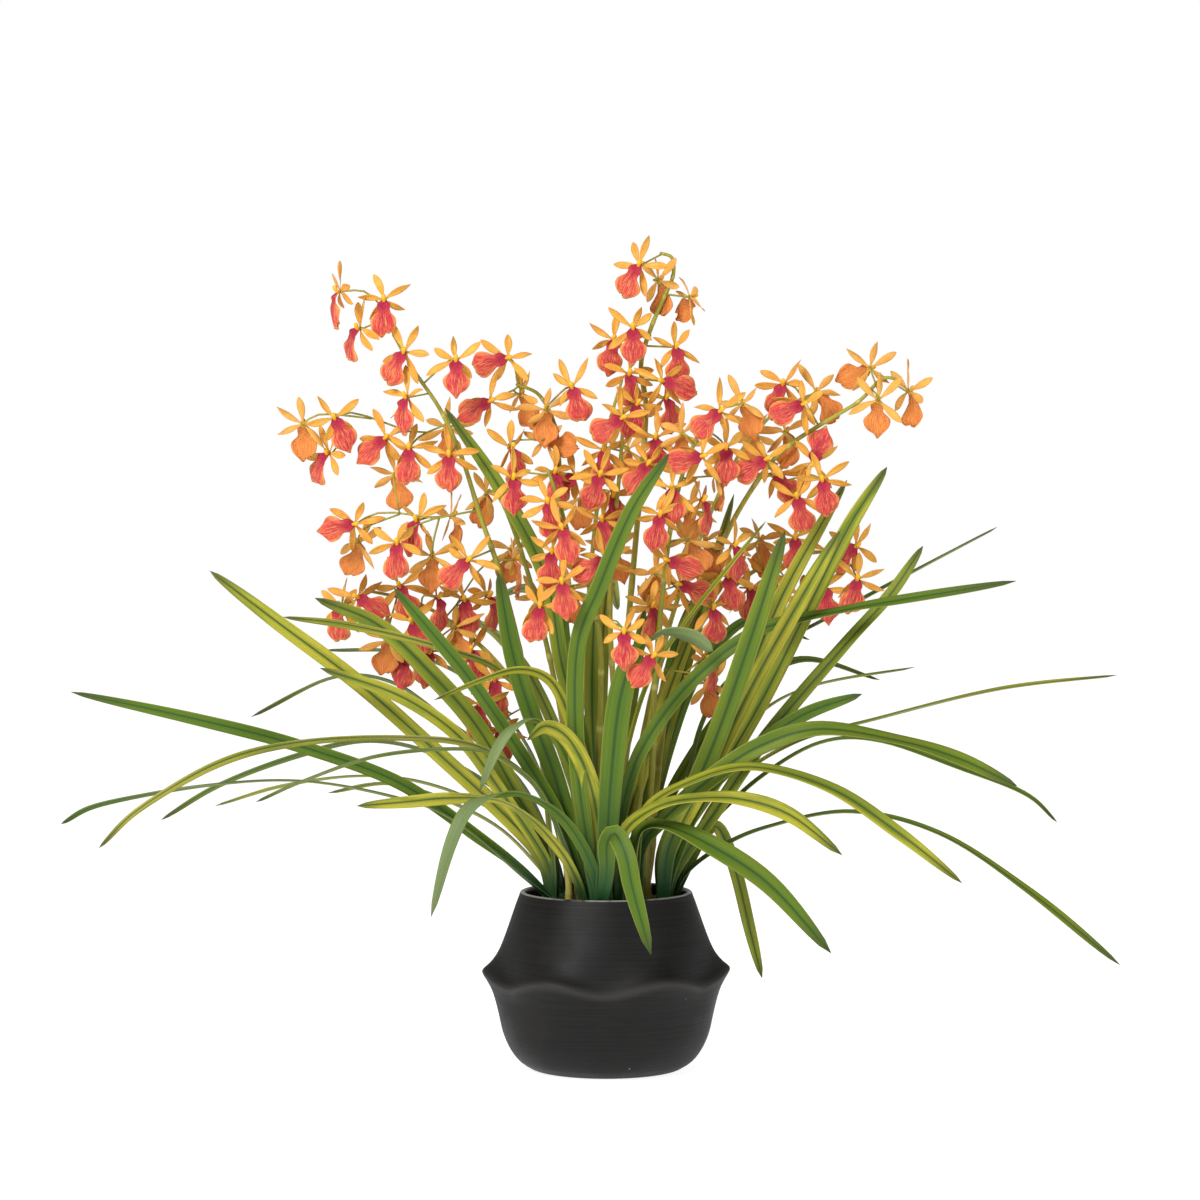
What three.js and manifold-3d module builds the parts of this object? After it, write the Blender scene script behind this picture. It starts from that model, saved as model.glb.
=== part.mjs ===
import * as THREE from 'three';
import Module from 'manifold-3d';

const wasm = await Module();
wasm.setup();

// Millimetres, +Z up, the pot's foot at the origin and the viewer on the -Y side.

// The view in which the plant was traced: a long lens, slightly above the pot
const VIEW_DISTANCE = 3240;
const VIEW_ELEVATION = 2 * Math.PI / 180;
const VIEW_ACROSS = -5.5;
const VIEW_HEIGHT = 422.5;
const VIEW_MM_PER_PIXEL = 0.9;
const VIEW_CENTRE_PIXEL = 600;
const VIEW_FORWARD = new THREE.Vector3(0, Math.cos(VIEW_ELEVATION), -Math.sin(VIEW_ELEVATION));

// Pot
const POT_HEIGHT = 160;
const FOOT_RADIUS = 61;
const RIM_RADIUS = 78;
const MOUTH_RADIUS = 72.5;
const RIDGE_RADIUS = 107;
const RIDGE_LOBES = 6;
const RIDGE_LOBE_DEPTH = 5;
const RIDGE_HEIGHT = 83;
const RIDGE_WAVE = 5;
const RIDGE_RIGHT_RISE = 1.3;
const FLOOR_THICKNESS = 12;
const POT_SIDES = 24;

// Each row is a height, a radius and how far the row follows the wavy ridge.
const POT_OUTSIDE = [
  [0, FOOT_RADIUS, 0],
  [2, 70, 0],
  [8, 79, 0],
  [18, 86.5, 0],
  [32, 93, 0],
  [50, 97, 0.2],
  [68, 100.5, 0.65],
  [76, 103.5, 0.85],
  [RIDGE_HEIGHT, RIDGE_RADIUS, 1],
  [93, 100.5, 0.8],
  [104, 96, 0.5],
  [121, 90.5, 0.2],
  [144, 83, 0],
  [157, RIM_RADIUS, 0],
  [POT_HEIGHT, 75.5, 0]
];

// Each row is a height and a radius, from the mouth down to the floor.
const POT_INSIDE = [
  [158.5, MOUTH_RADIUS],
  [150, MOUTH_RADIUS],
  [112, 86],
  [40, 84],
  [FLOOR_THICKNESS, 62]
];

// Soil and the holes that the tufts and canes stand in
const SOIL_TOP = 148;
const SOIL_CROWN = 3;
const SOIL_CROWN_RADIUS = 40;
const SOIL_GAP = 0.4;
const HOLE_DEPTH = 34;
const HOLE_GAP = 0.3;
const TUFT_FOOT_RADIUS = 8.2;
const TUFT_FOOT_SIDES = 6;
const CANE_FOOT_RADIUS = 4;
const CANE_FOOT_SIDES = 4;
const FOOT_RISE = 11;
const ROOT_RISE = 6;

// Leaves, whose shares are of the length from root to tip
const LEAF_THICKNESS = 1.5;
const LEAF_CHANNEL = 0.09;
const LEAF_ROOT_SHARE = 0.62;
const LEAF_FULL_FROM = 0.35;
const LEAF_TIP_START = 0.72;
const LEAF_TIP_ROUNDING = 2.1;
const LEAF_LAST_RING = 0.92;
const LEAF_STEP = 92;
const LEAF_LEAST_RINGS = 5;
const LEAF_ROOT_OFFSET = 4;
const LEAF_ROOT_LEAN = 0.3;

// Main stems
const STEM_SIDES = 4;
const STEM_ROOT_RADIUS = 3.4;
const STEM_TIP_RADIUS = 1.4;
const STEM_STEP = 80;
const BARE_STEM_SHARE = 0.35;
const STARTS_PER_STEP = 6;
const CURVE_SLOPE_SHARE = 0.01;

// Pedicels, the short stalks that carry one bloom each
const PEDICEL_RADIUS = 1;
const PEDICEL_BACKSET = 12;
const PEDICEL_ARCH = 0.12;
const PEDICEL_BEND_SHARE = 0.7;
const PEDICEL_FORK_SHARE = 0.3;
const PEDICEL_TURN_SHARE = 0.2;
const SIDE_SHOOT_REACH = 30;

// Room that a bloom keeps from the earlier ones of its spray
const BLOOM_ROOM_ACROSS = 36;
const BLOOM_ROOM_DEEP = 13;
const DEPTH_SHIFTS = [0, 9, -9, 18, -18, 27, -27];

// Blooms, whose five tepals stand round a small heart above one hanging lip; directions in degrees
const TEPAL_DIRECTIONS = [90, 155, 216, 324, 385];
const TEPAL_LENGTH = 25;
const TEPAL_HALF_WIDTH = 3;
const TEPAL_WIDEST_AT = 0.55;
const TEPAL_TURN = 40;
const TEPAL_SPREAD = 0.4;
const TEPAL_LIFT = 13;
const TEPAL_LIFT_CENTRE = 0.6;
const TEPAL_LIFT_AT_WIDEST = 0.35;
const HEART_RADIUS = 2.8;
const HEART_FRONT = 2.2;
const HEART_BACK = 2.6;
const HEART_BACK_TURN = 122;

// The lip: narrow behind the heart, then an open fan with a waved edge
const LIP_DIRECTION = 270;
const LIP_LENGTH = 31;
const LIP_HALF_WIDTH = 11.5;
const LIP_WAIST_HALF_WIDTH = 2.4;
const LIP_WAIST_AT = 6;
const LIP_WIDEST_AT = 19;
const LIP_CROWN = 7;
const LIP_CROWN_AT = 17;
const LIP_THICKNESS = 2;

// Each row is how far across, how far up and how far out, round the lip's edge.
const LIP_OUTLINE = [
  [-LIP_WAIST_HALF_WIDTH, -LIP_WAIST_AT, 2.5],
  [-LIP_HALF_WIDTH, -LIP_WIDEST_AT, 1.5],
  [1.1, -LIP_LENGTH, 3.5],
  [LIP_HALF_WIDTH, -LIP_WIDEST_AT, 4],
  [LIP_WAIST_HALF_WIDTH, -LIP_WAIST_AT, 2.5]
];

// Every leaf is a width and its traced path from the foot to the tip. A path row holds the place
// across and down the view, the depth away from the viewer, and the twist.
const TUFTS = {
  left: {
    foot: [-45, -14],
    leaves: [
      [12, [[520, 868, -20, 30], [480, 838, -32, 15], [400, 783, -52, 10], [300, 746, -66, 10],
        [200, 720, -80, 10], [71, 692, -95, 0]]],
      [15, [[542, 860, -16, 20], [510, 820, -24, 10], [440, 755, -34, 10], [360, 684, -42, 10],
        [280, 624, -50, 5], [210, 571, -54, 0]]],
      [13, [[546, 860, -22, 30], [500, 790, -42, 20], [460, 737, -56, 15], [400, 696, -64, 15],
        [320, 668, -70, 0]]],
      [17, [[550, 850, -10, 20], [520, 800, -16, 10], [480, 731, -22, 0], [440, 683, -28, 0],
        [380, 626, -32, 20], [315, 598, -34, 30]]],
      [11, [[525, 878, -24, 75], [455, 821, -44, 84], [395, 797, -56, 84], [300, 781, -68, 84],
        [200, 786, -78, 80], [100, 804, -86, 66], [61, 824, -90, 40]]],
      [12, [[552, 850, -28, 60], [535, 720, -28, 66], [500, 670, -42, 62], [434, 645, -66, 58],
        [350, 625, -76, 55], [283, 617, -80, 50]]]
    ]
  },
  leftFront: {
    foot: [-17, -40],
    leaves: [
      [13, [[577, 870, -44, 20], [558, 815, -54, 10], [520, 752, -64, 10], [470, 679, -78, 10],
        [430, 630, -86, 10], [394, 588, -90, 0]]],
      [12, [[577, 880, -52, 20], [560, 850, -64, 30], [530, 818, -82, 55], [497, 800, -98, 62],
        [450, 798, -116, 30], [405, 802, -128, 10], [357, 806, -136, 0]]],
      [11, [[574, 868, -48, 60], [545, 800, -66, 70], [515, 766, -76, 74], [470, 749, -84, 78],
        [380, 755, -96, 78], [300, 782, -104, 74], [256, 802, -108, 60]]],
      [13, [[572, 866, -44, 60], [540, 790, -60, 68], [480, 747, -70, 66], [400, 737, -80, 64],
        [300, 742, -90, 64], [220, 762, -98, 62], [140, 808, -104, 62], [99, 848, -106, 50]]],
      [17, [[580, 870, -40, 10], [556, 780, -46, 0], [530, 710, -52, 0], [512, 650, -56, 0],
        [498, 572, -58, 0]]],
      [12, [[586, 870, -46, 20], [575, 785, -60, 30], [558, 742, -70, 50], [536, 720, -80, 70],
        [514, 726, -92, 120], [497, 748, -98, 150], [480, 790, -102, 170]]]
    ]
  },
  front: {
    foot: [-5, -56],
    leaves: [
      [13, [[597, 880, -62, 0], [582, 845, -74, 20], [560, 815, -90, 50], [530, 796, -110, 66],
        [500, 794, -130, 66], [470, 806, -148, 150], [450, 845, -160, 170], [431, 917, -168, 180]]],
      [16, [[602, 860, -60, 0], [596, 810, -68, 0], [585, 768, -80, 10], [567, 737, -94, 20],
        [545, 726, -106, 40], [527, 740, -114, 60]]],
      [12, [[599, 860, -57, 0], [588, 780, -58, 0], [572, 725, -66, 20], [552, 682, -78, 40],
        [520, 669, -92, 60], [480, 680, -104, 62], [434, 700, -112, 60]]],
      [14, [[596, 860, -52, 0], [583, 745, -44, 0], [562, 665, -40, 0], [545, 575, -38, 0],
        [500, 488, -38, 0], [445, 408, -38, 0]]],
      [15, [[590, 860, -62, 0], [577, 760, -80, 0], [577, 650, -94, 0], [600, 585, -104, 0],
        [632, 510, -120, 0], [669, 454, -130, 0]]],
      [22, [[606, 860, -66, 0], [611, 780, -76, 0], [620, 700, -86, 10], [636, 655, -92, 50],
        [660, 635, -94, 100], [690, 637, -96, 130], [713, 651, -98, 150]]],
      [17, [[607, 872, -74, 20], [607, 846, -86, 10], [615, 834, -102, 0], [626, 856, -116, 0],
        [633, 890, -122, 0], [651, 955, -128, 0]]]
    ]
  },
  rightFront: {
    foot: [11, -48],
    leaves: [
      [13, [[612, 868, -50, 0], [628, 785, -58, 0], [650, 735, -66, 0], [695, 678, -66, 0],
        [760, 630, -61, 30], [840, 611, -61, 66], [900, 600, -60, 40], [1016, 581, -58, 0]]],
      [15, [[620, 860, -56, 30], [626, 830, -74, 40], [655, 808, -94, 60], [690, 799, -106, 62],
        [740, 799, -114, 40], [790, 815, -120, 10], [842, 855, -124, 0]]],
      [8, [[617, 862, -46, 50], [622, 780, -46, 60], [645, 690, -52, 66], [680, 630, -66, 66],
        [720, 578, -80, 66], [766, 521, -90, 60]]]
    ]
  },
  rightMiddle: {
    foot: [29, -36],
    leaves: [
      [19, [[632, 868, -46, 50], [640, 832, -64, 66], [665, 826, -80, 66], [710, 845, -90, 30],
        [770, 885, -96, 10], [831, 953, -100, 0]]],
      [13, [[636, 862, -42, 40], [645, 812, -60, 50], [685, 784, -76, 64], [750, 767, -88, 60],
        [830, 788, -96, 40], [900, 834, -102, 10], [962, 883, -106, 0]]],
      [16, [[640, 850, -39, 20], [665, 818, -54, 20], [715, 775, -68, 10], [760, 746, -76, 0],
        [820, 729, -78, 40], [900, 741, -82, 60], [960, 759, -86, 30], [1017, 786, -90, 0]]]
    ]
  },
  right: {
    foot: [49, -18],
    leaves: [
      [19, [[668, 850, -26, 0], [690, 800, -34, 0], [720, 727, -60, 0], [752, 635, -94, 0],
        [785, 531, -108, 0]]],
      [15, [[672, 850, -18, 0], [712, 785, -28, 0], [762, 700, -40, 0], [812, 600, -52, 0],
        [850, 525, -60, 0], [887, 467, -64, 0]]],
      [15, [[670, 850, -24, 0], [705, 780, -40, 0], [755, 680, -62, 0], [800, 600, -76, 0],
        [840, 531, -82, 0]]],
      [15, [[664, 850, -12, 0], [698, 780, -10, 0], [742, 690, -8, 0], [785, 590, -4, 0],
        [847, 480, 2, 0]]],
      [13, [[678, 866, -14, 0], [715, 812, -20, 10], [768, 735, -28, 10], [845, 645, -34, 40],
        [890, 595, -36, 30], [923, 546, -38, 0]]],
      [13, [[674, 862, -20, 20], [704, 795, -30, 20], [755, 748, -34, 20], [805, 714, -36, 0],
        [862, 694, -38, 0]]],
      [10, [[680, 866, -10, 70], [710, 825, -12, 76], [760, 778, -16, 76], [820, 743, -22, 74],
        [880, 741, -30, 70], [960, 768, -42, 66], [1025, 794, -52, 60], [1057, 822, -56, 50]]]
    ]
  },
  rightBack: {
    foot: [59, 12],
    leaves: [
      [12, [[686, 874, 4, 70], [715, 851, -2, 78], [765, 828, -10, 80], [850, 812, -22, 78],
        [940, 834, -38, 74], [1030, 892, -54, 50], [1120, 965, -66, 0]]],
      [12, [[690, 862, 20, 20], [706, 832, 30, 20], [720, 830, 42, 10], [736, 872, 50, 0],
        [750, 930, 54, 0], [762, 978, 56, 0]]],
      [11, [[684, 866, 10, 60], [720, 795, 8, 76], [790, 745, 8, 80], [880, 718, 6, 80],
        [1000, 689, 2, 80], [1117, 675, -2, 70]]],
      [10, [[678, 856, 16, 60], [700, 730, 22, 72], [745, 665, 30, 74], [830, 617, 41, 76],
        [920, 568, 44, 80], [997, 527, 44, 76]]],
      [9, [[680, 858, 22, 70], [706, 780, 36, 78], [755, 718, 48, 80], [812, 686, 56, 82],
        [915, 667, 62, 80]]]
    ]
  },
  leftBack: {
    foot: [-36, 27],
    leaves: [
      [11, [[557, 860, 26, 60], [520, 780, 30, 74], [445, 718, 34, 78], [390, 681, 36, 78],
        [330, 678, 38, 76], [251, 717, 38, 50]]],
      [10, [[563, 850, 32, 60], [530, 750, 40, 70], [470, 680, 48, 72], [400, 652, 54, 72],
        [325, 650, 58, 60]]],
      [12, [[554, 862, 20, 60], [510, 800, 12, 70], [440, 756, 2, 70], [370, 740, -6, 70],
        [300, 754, -12, 68], [220, 784, -16, 62], [161, 820, -18, 50]]],
      [10, [[550, 866, 34, 70], [500, 815, 40, 78], [430, 784, 42, 80], [360, 776, 40, 80],
        [280, 786, 36, 76], [215, 806, 32, 60]]],
      [10, [[548, 876, 22, 66], [500, 828, 8, 72], [440, 797, -6, 74], [385, 783, -18, 72],
        [328, 793, -26, 60]]]
    ]
  },
  centre: {
    foot: [0, -2],
    leaves: [
      [14, [[600, 850, -2, 0], [594, 760, 0, 0], [592, 680, 2, 0], [596, 570, 4, 0]]],
      [13, [[610, 850, 2, 0], [620, 770, 8, 0], [632, 690, 10, 0], [645, 608, 12, 0]]],
      [13, [[618, 850, 4, 10], [640, 780, 6, 10], [666, 700, 6, 10], [700, 610, 4, 10]]],
      [13, [[596, 850, -6, 0], [578, 760, -8, 0], [567, 680, -8, 0], [562, 590, -6, 0]]]
    ]
  },
  back: {
    foot: [-9, 50],
    leaves: [
      [13, [[590, 840, 58, 10], [560, 740, 84, 20], [520, 660, 120, 40], [470, 620, 160, 60],
        [410, 640, 200, 70]]],
      [13, [[594, 840, 62, 10], [580, 730, 96, 10], [560, 640, 140, 20], [530, 590, 190, 40],
        [490, 600, 240, 60]]],
      [13, [[598, 840, 64, 0], [600, 720, 104, 0], [604, 620, 156, 0], [610, 580, 210, 0],
        [618, 610, 262, 0]]]
    ]
  },
  backRight: {
    foot: [31, 40],
    leaves: [
      [12, [[642, 850, 38, 10], [662, 750, 42, 10], [690, 650, 48, 10], [734, 494, 56, 0]]],
      [12, [[644, 850, 50, 20], [668, 750, 78, 20], [700, 670, 118, 30], [750, 620, 164, 50],
        [810, 640, 206, 60]]],
      [12, [[646, 850, 46, 20], [684, 770, 66, 30], [735, 700, 94, 40], [800, 660, 126, 60],
        [880, 680, 152, 60]]],
      [12, [[640, 850, 54, 10], [656, 740, 92, 10], [676, 650, 140, 10], [700, 600, 192, 20],
        [722, 630, 244, 30]]]
    ]
  }
};

// Every spray is its foot, the traced path of its main stem and its blooms. A bloom row holds the
// place of its heart in the view, its depth, the angle of its lip from straight down in the view,
// and the way it faces: 0 is to the viewer, 90 to the right and 180 away.
const SPRAYS = {
  left: {
    foot: [-33.5, -34],
    stem: [[567, 870, -36], [549, 780, -40], [530, 700, -42], [515, 630, -42], [498, 567, -42],
      [480, 515, -42], [462, 458, -42], [441, 411, -42], [415, 372, -44], [393, 334, -46]],
    blooms: [
      [397, 543, -52, 0, 0], [355, 524, -44, -80, -10], [358, 542, -26, -20, 160], [418, 520, -44, -10, -30],
      [450, 516, -30, 10, 120], [468, 560, -56, -45, 0], [432, 556, -28, 0, 180],
      [449, 455, -60, 0, 0], [409, 448, -50, 0, 0], [386, 438, -36, -50, -10], [395, 474, -26, 10, 170],
      [334, 418, -44, 25, 10], [303, 424, -38, 0, 180], [330, 453, -40, -45, -50],
      [408, 397, -56, 0, -40], [405, 352, -56, -30, -20], [384, 300, -56, 0, 0], [341, 291, -52, 0, -70],
      [361, 328, -50, -50, -60], [456, 360, -58, 0, 0]
    ]
  },
  leftLow: {
    foot: [-23.5, -24],
    stem: [[572, 860, -18], [556, 790, -6], [540, 730, 4], [518, 690, 12], [490, 655, 18],
      [455, 625, 20], [415, 602, 20], [365, 590, 20]],
    blooms: [
      [500, 730, 8, 0, 10], [480, 704, 4, 0, 0], [495, 680, -4, 0, 0],
      [470, 650, 4, 10, 20], [455, 628, 2, 10, 180], [430, 652, 6, -10, 0],
      [412, 622, 4, 20, 0], [408, 655, 12, -10, -20], [388, 640, 8, -10, 180], [465, 600, 4, 10, 0],
      [486, 596, 16, 20, 60], [436, 597, 0, -10, 50], [400, 586, 4, 20, 0], [358, 597, 6, 60, 0],
      [342, 606, 12, 0, -30], [512, 560, 6, 0, 100]
    ]
  },
  frontCentre: {
    foot: [-2, -30],
    stem: [[601, 850, -32], [598, 770, -40], [601, 700, -52], [600, 640, -64], [590, 590, -74],
      [574, 550, -80], [560, 505, -84], [548, 470, -86]],
    blooms: [
      [624, 632, -122, 0, 0], [653, 656, -124, -35, 0], [540, 606, -92, -10, 0], [562, 582, -98, 5, 0],
      [605, 560, -96, -65, 0], [552, 552, -100, -5, 0], [562, 528, -94, 15, 0], [548, 502, -92, 10, 0],
      [512, 478, -84, 0, 20]
    ]
  },
  upperLeft: {
    foot: [-20, -7],
    stem: [[582, 850, -6], [572, 750, -2], [564, 660, 2], [562, 600, 2], [562, 540, 0],
      [560, 480, -2], [556, 430, -4], [540, 396, -6], [516, 384, -8]],
    blooms: [
      [553, 472, -22, 0, 30], [575, 476, -14, -50, 0], [545, 441, -16, 80, 150], [510, 448, -20, 10, 40],
      [546, 410, -10, 0, 180], [572, 387, -22, 15, 0], [520, 394, -14, 20, 150], [490, 401, -28, -60, 0],
      [508, 358, -26, -75, -10]
    ]
  },
  centre: {
    foot: [20, 2],
    stem: [[626, 850, -3], [621, 750, -14], [613, 680, -16], [610, 610, -18], [612, 550, -22],
      [618, 490, -24], [622, 440, -26], [622, 410, -26]],
    blooms: [
      [602, 520, -36, 10, 0], [612, 496, -28, 0, 20], [600, 475, -42, -20, 0], [648, 464, -44, -35, 0],
      [604, 450, -34, 0, 0], [656, 438, -40, 0, 0], [622, 418, -42, -60, 0], [636, 404, -36, -20, 20]
    ]
  },
  centreRight: {
    foot: [38, -8],
    stem: [[646, 850, -12], [652, 770, -20], [654, 700, -28], [658, 640, -36], [664, 580, -42],
      [672, 520, -46], [684, 470, -48], [702, 430, -50], [728, 404, -50]],
    blooms: [
      [660, 515, -62, -10, 0], [668, 560, -58, 70, 0], [688, 540, -50, 30, 180], [672, 488, -62, 0, 0],
      [700, 500, -52, 10, 60], [702, 456, -64, -75, 0], [682, 434, -50, 0, 180], [720, 411, -62, -50, 0],
      [726, 448, -56, 0, 0], [742, 404, -52, 20, 160], [714, 476, -50, 40, 100]
    ]
  },
  rightTop: {
    foot: [36, 16],
    stem: [[652, 850, 18], [658, 770, 22], [668, 700, 24], [686, 630, 20], [712, 565, 8],
      [742, 505, -8], [778, 455, -22], [820, 425, -26], [858, 402, -30], [882, 379, -32],
      [900, 380, -32]],
    blooms: [
      [797, 497, -30, 10, 0], [822, 480, -36, 10, 0], [775, 474, -22, 40, 0], [766, 459, -40, -60, 0],
      [813, 462, -44, 160, 0], [785, 432, -20, 0, 150], [803, 404, -42, -65, 0], [784, 384, -34, -20, -20],
      [816, 392, -26, 40, 150], [878, 400, -38, 0, 180], [870, 368, -34, -70, 170], [908, 391, -34, 0, 130]
    ]
  },
  rightLow: {
    foot: [12, 24],
    stem: [[622, 850, 28], [636, 770, 34], [658, 700, 36], [690, 640, 35], [730, 590, 42],
      [775, 560, 48], [820, 552, 44], [848, 556, 40]],
    blooms: [
      [760, 540, 38, 0, 150], [768, 575, 36, 10, 20], [795, 538, 28, 0, 0], [748, 588, 40, 0, 30],
      [800, 596, 36, -10, 20], [825, 588, 24, 5, 0], [856, 546, 26, -50, 0], [857, 579, 24, -12, 0]
    ]
  },
  centreLow: {
    foot: [18, -22],
    stem: [[632, 850, -22], [642, 780, -18], [650, 720, -14], [662, 660, -8], [684, 620, -4],
      [706, 585, -2], [728, 556, 0]],
    blooms: [
      [708, 684, -12, 10, 180], [703, 660, -16, 30, 60], [712, 608, -20, 0, 20], [655, 574, -8, 0, 180],
      [680, 584, -14, 70, 0], [650, 606, -22, -10, 40], [733, 545, -24, 0, 40], [728, 576, -12, 10, 0],
      [704, 542, -8, 20, 150]
    ]
  },
  top: {
    foot: [4, 42],
    stem: [[612, 850, 42], [618, 750, 38], [626, 650, 32], [634, 560, 24], [641, 480, 16],
      [646, 410, 10], [641, 365, 6], [651, 328, 2], [663, 300, 0], [673, 276, -2], [672, 258, -4],
      [660, 253, -6]],
    blooms: [
      [664, 398, 0, 10, 40], [662, 381, -10, 75, 10], [628, 374, -8, 0, 20], [675, 347, -14, 0, 20],
      [633, 328, -14, 0, 0], [614, 340, -8, -10, 0], [658, 280, -2, 0, 140], [689, 297, -6, -70, 120],
      [640, 265, -12, -30, -20]
    ]
  },
  backLeft: {
    foot: [-16, 18],
    stem: [[584, 840, 24], [568, 750, 40], [550, 660, 60], [530, 580, 78], [506, 510, 92],
      [476, 450, 100], [440, 410, 104]],
    blooms: [
      [540, 596, 84, 20, 170], [512, 550, 100, -10, 190], [486, 494, 112, -20, 160],
      [446, 428, 112, 10, 180]
    ]
  },
  backCentre: {
    foot: [-26, 44],
    stem: [[574, 840, 48], [578, 750, 62], [586, 660, 88], [590, 580, 116], [598, 500, 130],
      [608, 430, 138], [622, 380, 142]],
    blooms: [
      [572, 590, 124, 0, 170], [614, 550, 132, 20, 190], [582, 496, 142, -10, 160],
      [628, 450, 148, 10, 200]
    ]
  },
  backRight: {
    foot: [14, 56],
    stem: [[624, 840, 66], [640, 750, 84], [660, 660, 102], [684, 580, 116], [712, 510, 126],
      [742, 450, 132], [776, 410, 134]],
    blooms: [
      [652, 606, 116, -10, 160], [704, 570, 128, 10, 200], [690, 510, 136, 0, 180],
      [756, 434, 144, -10, 190]
    ]
  }
};

// Shared helpers

function fromView(across, down, depth) {
  const right = (across - VIEW_CENTRE_PIXEL) * VIEW_MM_PER_PIXEL;
  const up = (VIEW_CENTRE_PIXEL - down) * VIEW_MM_PER_PIXEL;
  const cos = Math.cos(VIEW_ELEVATION);
  const sin = Math.sin(VIEW_ELEVATION);
  const rayY = up * sin + VIEW_DISTANCE * cos;
  const rayZ = up * cos - VIEW_DISTANCE * sin;
  const share = (depth + VIEW_DISTANCE * cos) / rayY;
  return new THREE.Vector3(
    VIEW_ACROSS + share * right,
    depth,
    VIEW_HEIGHT + VIEW_DISTANCE * sin + share * rayZ
  );
}

function mix(a, b, share) {
  return a + (b - a) * share;
}

function placeOf(row) {
  return new THREE.Vector3(row[0], row[1], row[2]);
}

// A smooth curve through rows of numbers, which may carry a twist beside the place.
function curveValue(rows, share) {
  const spans = rows.length - 1;
  const place = Math.min(Math.max(share, 0), 1) * spans;
  const index = Math.min(Math.floor(place), spans - 1);
  const t = place - index;
  const b = rows[index];
  const c = rows[index + 1];
  const a = index > 0 ? rows[index - 1] : b.map((value, k) => 2 * value - c[k]);
  const d = index + 2 <= spans ? rows[index + 2] : c.map((value, k) => 2 * value - b[k]);
  return b.map((value, k) => 0.5 * (
    2 * value
    + (c[k] - a[k]) * t
    + (2 * a[k] - 5 * value + 4 * c[k] - d[k]) * t * t
    + (3 * value - a[k] - 3 * c[k] + d[k]) * t * t * t
  ));
}

function curveTangent(rows, share) {
  const ahead = placeOf(curveValue(rows, Math.min(share + CURVE_SLOPE_SHARE, 1)));
  const back = placeOf(curveValue(rows, Math.max(share - CURVE_SLOPE_SHARE, 0)));
  return ahead.sub(back).normalize();
}

function pathLength(rows) {
  let length = 0;
  for (let index = 1; index < rows.length; index += 1) {
    length += placeOf(rows[index]).distanceTo(placeOf(rows[index - 1]));
  }
  return length;
}

function centreOf(places) {
  const sum = new THREE.Vector3();
  places.forEach((place) => sum.add(place));
  return sum.divideScalar(places.length);
}

// Numbers from 0 to 1 that come out the same on every run.
function seededRandom(seed) {
  let state = seed;
  return () => {
    state = (state * 16807) % 2147483647;
    return state / 2147483647;
  };
}

function toSolid(points, faces) {
  const vertProperties = new Float32Array(points.length * 3);
  points.forEach((point, index) => point.toArray(vertProperties, index * 3));
  const triVerts = new Uint32Array(faces.flat());
  return new wasm.Manifold(new wasm.Mesh({ numProp: 3, vertProperties, triVerts }));
}

// A closed tube from rings of equal length, each seen anticlockwise from its far end.
function tubeSolid(rings) {
  const sides = rings[0].length;
  const faces = [];
  for (let ring = 0; ring < rings.length - 1; ring += 1) {
    for (let side = 0; side < sides; side += 1) {
      const a = ring * sides + side;
      const b = ring * sides + (side + 1) % sides;
      faces.push([a, b, b + sides], [a, b + sides, a + sides]);
    }
  }
  const last = (rings.length - 1) * sides;
  for (let side = 1; side < sides - 1; side += 1) {
    faces.push([0, side + 1, side], [last, last + side, last + side + 1]);
  }
  return toSolid(rings.flat(), faces);
}

// An upright prism between two levels.
function prismSolid(x, y, radius, sides, bottom, top) {
  return tubeSolid([bottom, top].map((level) => {
    const ring = [];
    for (let side = 0; side < sides; side += 1) {
      const angle = side * 2 * Math.PI / sides;
      ring.push(new THREE.Vector3(x + radius * Math.cos(angle), y + radius * Math.sin(angle), level));
    }
    return ring;
  }));
}

// One body from solids that grow into each other; hollows sealed by the fusing are filled.
function joined(solids) {
  const whole = wasm.Manifold.union(solids);
  const bodies = whole.decompose();
  bodies.sort((a, b) => b.volume() - a.volume());
  return bodies[0];
}

function toMesh(name, solid, material) {
  const mesh = solid.getMesh();
  const geometry = new THREE.BufferGeometry();
  geometry.setAttribute('position', new THREE.BufferAttribute(new Float32Array(mesh.vertProperties), 3));
  geometry.setIndex(new THREE.BufferAttribute(new Uint32Array(mesh.triVerts), 1));
  geometry.computeVertexNormals();
  const result = new THREE.Mesh(geometry, material);
  result.name = name;
  return result;
}

// Pot

function ridgeHeight(angle) {
  return RIDGE_HEIGHT + RIDGE_WAVE * Math.cos(RIDGE_LOBES * angle) + RIDGE_RIGHT_RISE * Math.cos(angle);
}

function ridgeRadius(angle) {
  return RIDGE_RADIUS + RIDGE_LOBE_DEPTH * Math.cos(RIDGE_LOBES * angle);
}

function potRing(radiusAt, heightAt) {
  const ring = [];
  for (let side = 0; side < POT_SIDES; side += 1) {
    const angle = side * 2 * Math.PI / POT_SIDES;
    const radius = radiusAt(angle);
    ring.push(new THREE.Vector3(radius * Math.cos(angle), radius * Math.sin(angle), heightAt(angle)));
  }
  return ring;
}

function makePot() {
  const outside = POT_OUTSIDE.map(([height, radius, follow]) => potRing(
    (angle) => radius + follow * follow * (ridgeRadius(angle) - RIDGE_RADIUS),
    (angle) => height + follow * (ridgeHeight(angle) - RIDGE_HEIGHT)
  ));
  const inside = POT_INSIDE.map(([height, radius]) => potRing(() => radius, () => height));
  return tubeSolid([...outside, ...inside]);
}

// Soil

function holeFor([x, y, radius, sides]) {
  return prismSolid(x, y, radius + HOLE_GAP, sides, SOIL_TOP - HOLE_DEPTH, SOIL_TOP + HOLE_DEPTH);
}

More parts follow.
